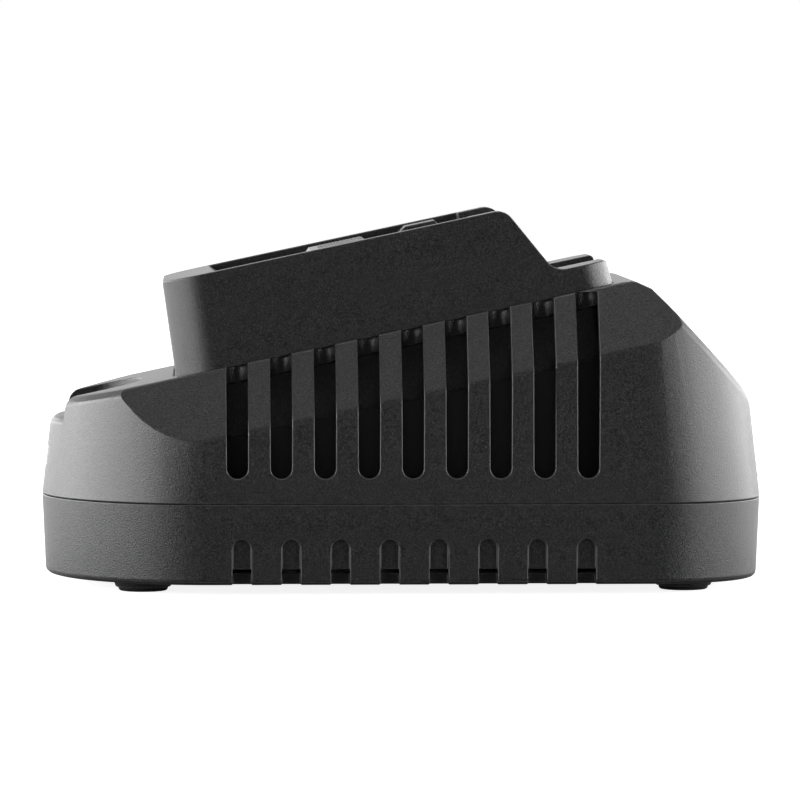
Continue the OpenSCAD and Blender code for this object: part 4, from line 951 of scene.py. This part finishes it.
for nodeName, given in screwSet.items():
    makeScrews(nodeName, {**screwBase, **given})
print("screws set:", len(screwSet), "kinds")


# Winding: one wire laid in even turns round a section of the ring core, in millimetres and degrees;
# ringShare is half the ring's thickness as a share of its outer radius
windingSet = {"wire": 0.8, "turns": 12, "stepsPerTurn": 20, "gap": 0.12, "lowest": 40, "highest": 162,
              "squareness": 0.45, "ringShare": 2 / 9, "wireSides": 8}


def makeWindingTree(spec):
    tree, given, result = makeTree("woundWire", {
        "Turns": ("Float", 12.0), "Steps": ("Int", 240), "Middle radius": ("Float", 0.007),
        "Half depth": ("Float", 0.003), "Half width": ("Float", 0.005), "Start": ("Float", 0.6),
        "End": ("Float", 2.8), "Wire": ("Float", 0.0004), "Squareness": ("Float", 0.5),
        "Finish": ("Material", None)})

    def calc(operation, *values):
        return addMath(tree, operation, *values)

    def squared(wave, half):
        size = calc("POWER", calc("ABSOLUTE", wave), given["Squareness"])
        return calc("MULTIPLY", calc("MULTIPLY", size, calc("SIGN", wave)), half)

    line = addNode(tree, "GeometryNodeMeshLine", {"Count": given["Steps"]})
    share = calc("DIVIDE", addNode(tree, "GeometryNodeInputIndex")[0], given["Steps"])
    sweep = calc("SUBTRACT", given["End"], given["Start"])
    around = calc("ADD", calc("MULTIPLY", share, sweep), given["Start"])
    turn = calc("MULTIPLY", calc("MULTIPLY", share, given["Turns"]), math.tau)
    radius = calc("ADD", squared(calc("COSINE", turn), given["Half depth"]), given["Middle radius"])
    down = calc("MULTIPLY", radius, calc("COSINE", around))
    place = addNode(tree, "ShaderNodeCombineXYZ", {
        "X": calc("MULTIPLY", radius, calc("SINE", around)),
        "Y": squared(calc("SINE", turn), given["Half width"]), "Z": calc("MULTIPLY", down, -1.0)})
    moved = addNode(tree, "GeometryNodeSetPosition", {"Geometry": line[0], "Position": place[0]})
    path = addNode(tree, "GeometryNodeMeshToCurve", {0: moved[0]})
    ring = addNode(tree, "GeometryNodeCurvePrimitiveCircle", {"Resolution": spec["wireSides"],
                                                              "Radius": given["Wire"]})
    tube = addNode(tree, "GeometryNodeCurveToMesh", {"Curve": path[0], "Profile Curve": ring[0],
                                                     "Fill Caps": True})
    smooth = addNode(tree, "GeometryNodeSetShadeSmooth", {"Geometry": tube[0]})
    finishTree(tree, given, result, smooth[0])
    return tree


def makeWinding(spec):
    low, high = map(Vector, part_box("choke_core"))
    outer, width = (high.z - low.z) / 2, (high.y - low.y) / 2
    depth = outer * spec["ringShare"]
    wire = spec["wire"] / 2 * mm
    stand = wire + spec["gap"] * mm
    tree = makeWindingTree(spec)
    meshes = []
    for side in (-1, 1):
        mesh = growMesh("winding", tree, bpy.data.meshes.new("winding"), {
            "Turns": float(spec["turns"]), "Steps": spec["turns"] * spec["stepsPerTurn"],
            "Middle radius": outer - depth, "Half depth": depth + stand, "Half width": width + stand,
            "Start": math.radians(side * spec["lowest"]), "End": math.radians(side * spec["highest"]),
            "Wire": wire, "Squareness": spec["squareness"], "Finish": materials["windingEnamel"]})
        mesh.transform(Matrix.Translation((low + high) / 2))
        meshes.append(mesh)
    addPiece("chokeWinding", joinMeshes("chokeWinding", meshes), "windingEnamel", "coil_tape")


makeWinding(windingSet)
print("winding laid")


# Legs and solder: rows of (first place, step, count) on the board, in millimetres
legRows = {
    "transformer": ((-20.0, 17.0), (5.0, 0.0), 5),
    "transformerFar": ((-20.0, -9.0), (5.0, 0.0), 5),
    "reservoir": ((17.0, 15.0), (10.0, 0.0), 2),
    "outputLow": ((-39.5, -17.0), (5.0, 0.0), 2),
    "outputHigh": ((-39.5, -5.0), (5.0, 0.0), 2),
    "bridge": ((5.5, -29.0), (5.0, 0.0), 4),
    "filter": ((34.5, 24.5), (15.0, 0.0), 2),
    "choke": ((16.0, -24.0), (12.0, 0.0), 2),
    "chokeFar": ((16.0, -18.0), (12.0, 0.0), 2),
    "thermistor": ((51.0, 2.5), (0.0, 7.0), 2),
    "fuse": ((35.0, -22.0), (16.0, 0.0), 2),
    "switch": ((-22.54, -20.1), (2.54, 0.0), 3),
    "rectifier": ((-42.1, 17.46), (0.0, 2.54), 3),
    "power": ((-50.5, -8.8), (0.0, 17.6), 2),
    "signal": ((-50.5, -4.4), (0.0, 4.4), 3),
}
# The dome of a joint gives shares of its radius and height
solderSet = {"radius": 1.1, "height": 0.9, "dome": ((1, 0), (0.8, 0.3), (0.45, 0.65), (0.3, 1), (0, 1.05)),
             "sunk": 0.05, "sides": 12, "twist": 1.5, "seed": 11}


def makeSolder(spec):
    dome = [(spec["radius"] * out, spec["height"] * up) for out, up in spec["dome"]]
    drop = turnedMesh("solder", [(0, -spec["sunk"])] + dome, Matrix(), spec["sides"])
    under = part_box("circuit_board")[0][2]
    points = []
    for first, step, count in legRows.values():
        for turn in range(count):
            x, y = ((first[axis] + step[axis] * turn) * mm for axis in range(2))
            points.append(((x, y, under), (0, 0, -1)))
    addPiece("solderJoints", setAtPoints("solderJoints", drop, points, spec, "solderTin"), "solderTin",
             "tinned_metal")


makeSolder(solderSet)


# Bent legs of the chip and the optocoupler, along both long sides, in millimetres
leadSet = {
    "control_chip": {"pitch": 1.27, "count": 7, "reach": 0.9, "width": 0.42, "thick": 0.2},
    "optocoupler": {"pitch": 2.54, "count": 2, "reach": 0.6, "width": 0.9, "thick": 0.25},
}
# Where a leg leaves the body and bends, as shares of the body's height and of the leg's reach and thickness
leadBend = {"rise": 0.5, "knee": 0.35, "ankle": 0.5, "foot": 0.6}


def leadMesh(spec, rise):
    reach, thick, half = spec["reach"] * mm, spec["thick"] * mm, spec["width"] / 2 * mm
    foot = thick * leadBend["foot"]
    path = [(0, rise), (reach * leadBend["knee"], rise), (reach * leadBend["ankle"], foot), (reach, foot)]
    work = bmesh.new()
    rings = []
    for step, (out, height) in enumerate(path):
        ahead = Vector(path[min(step + 1, len(path) - 1)]) - Vector(path[max(step - 1, 0)])
        normal = Vector((-ahead.y, ahead.x)).normalized() * thick / 2
        rings.append([work.verts.new((side * half, out + turn * normal.x, height + turn * normal.y))
                      for side, turn in ((-1, -1), (1, -1), (1, 1), (-1, 1))])
    bridgeRings(work, rings, smooth=False)
    work.faces.new(rings[0][::-1])
    work.faces.new(rings[-1])
    bmesh.ops.recalc_face_normals(work, faces=work.faces)
    return meshFrom(work, "lead")


def makeLeads(nodeName, spec):
    low, high = map(Vector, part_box(nodeName))
    mesh = leadMesh(spec, (high.z - low.z) * leadBend["rise"])
    rows = []
    for edge, angle in ((low.y, math.pi), (high.y, 0)):
        for turn in range(spec["count"]):
            along = (turn - (spec["count"] - 1) / 2) * spec["pitch"] * mm
            place = Matrix.Translation(((low.x + high.x) / 2 + along, edge, low.z))
            copy = mesh.copy()
            copy.transform(place @ Matrix.Rotation(angle, 4, "Z"))
            rows.append(copy)
    addPiece(nodeName + "Leads", joinMeshes(nodeName + "Leads", rows), "tinPlate", "tinned_metal")


for nodeName, spec in leadSet.items():
    makeLeads(nodeName, spec)
print("legs and solder set")


# Wires: the plain tubes made round
wireFinish = {"power_wires": "redSleeve", "signal_wires": "yellowSleeve", "lamp_wires": "greySleeve"}
wireSet = {"merge": 0.01, "flat": 1, "levels": 1}


def makeWires(nodeName, finish, spec):
    work = cadWork(nodeName, spec["merge"], spec["flat"])
    for face in work.faces:
        face.smooth = True
    holder = addObject(nodeName, meshFrom(work, nodeName))
    finer = holder.modifiers.new("round", "SUBSURF")
    finer.levels = finer.render_levels = spec["levels"]
    addPiece(nodeName + "Round", evaluatedMesh(holder), finish, slots[nodeName], nodeName)


for nodeName, finish in wireFinish.items():
    makeWires(nodeName, finish, wireSet)
print("wires made round")
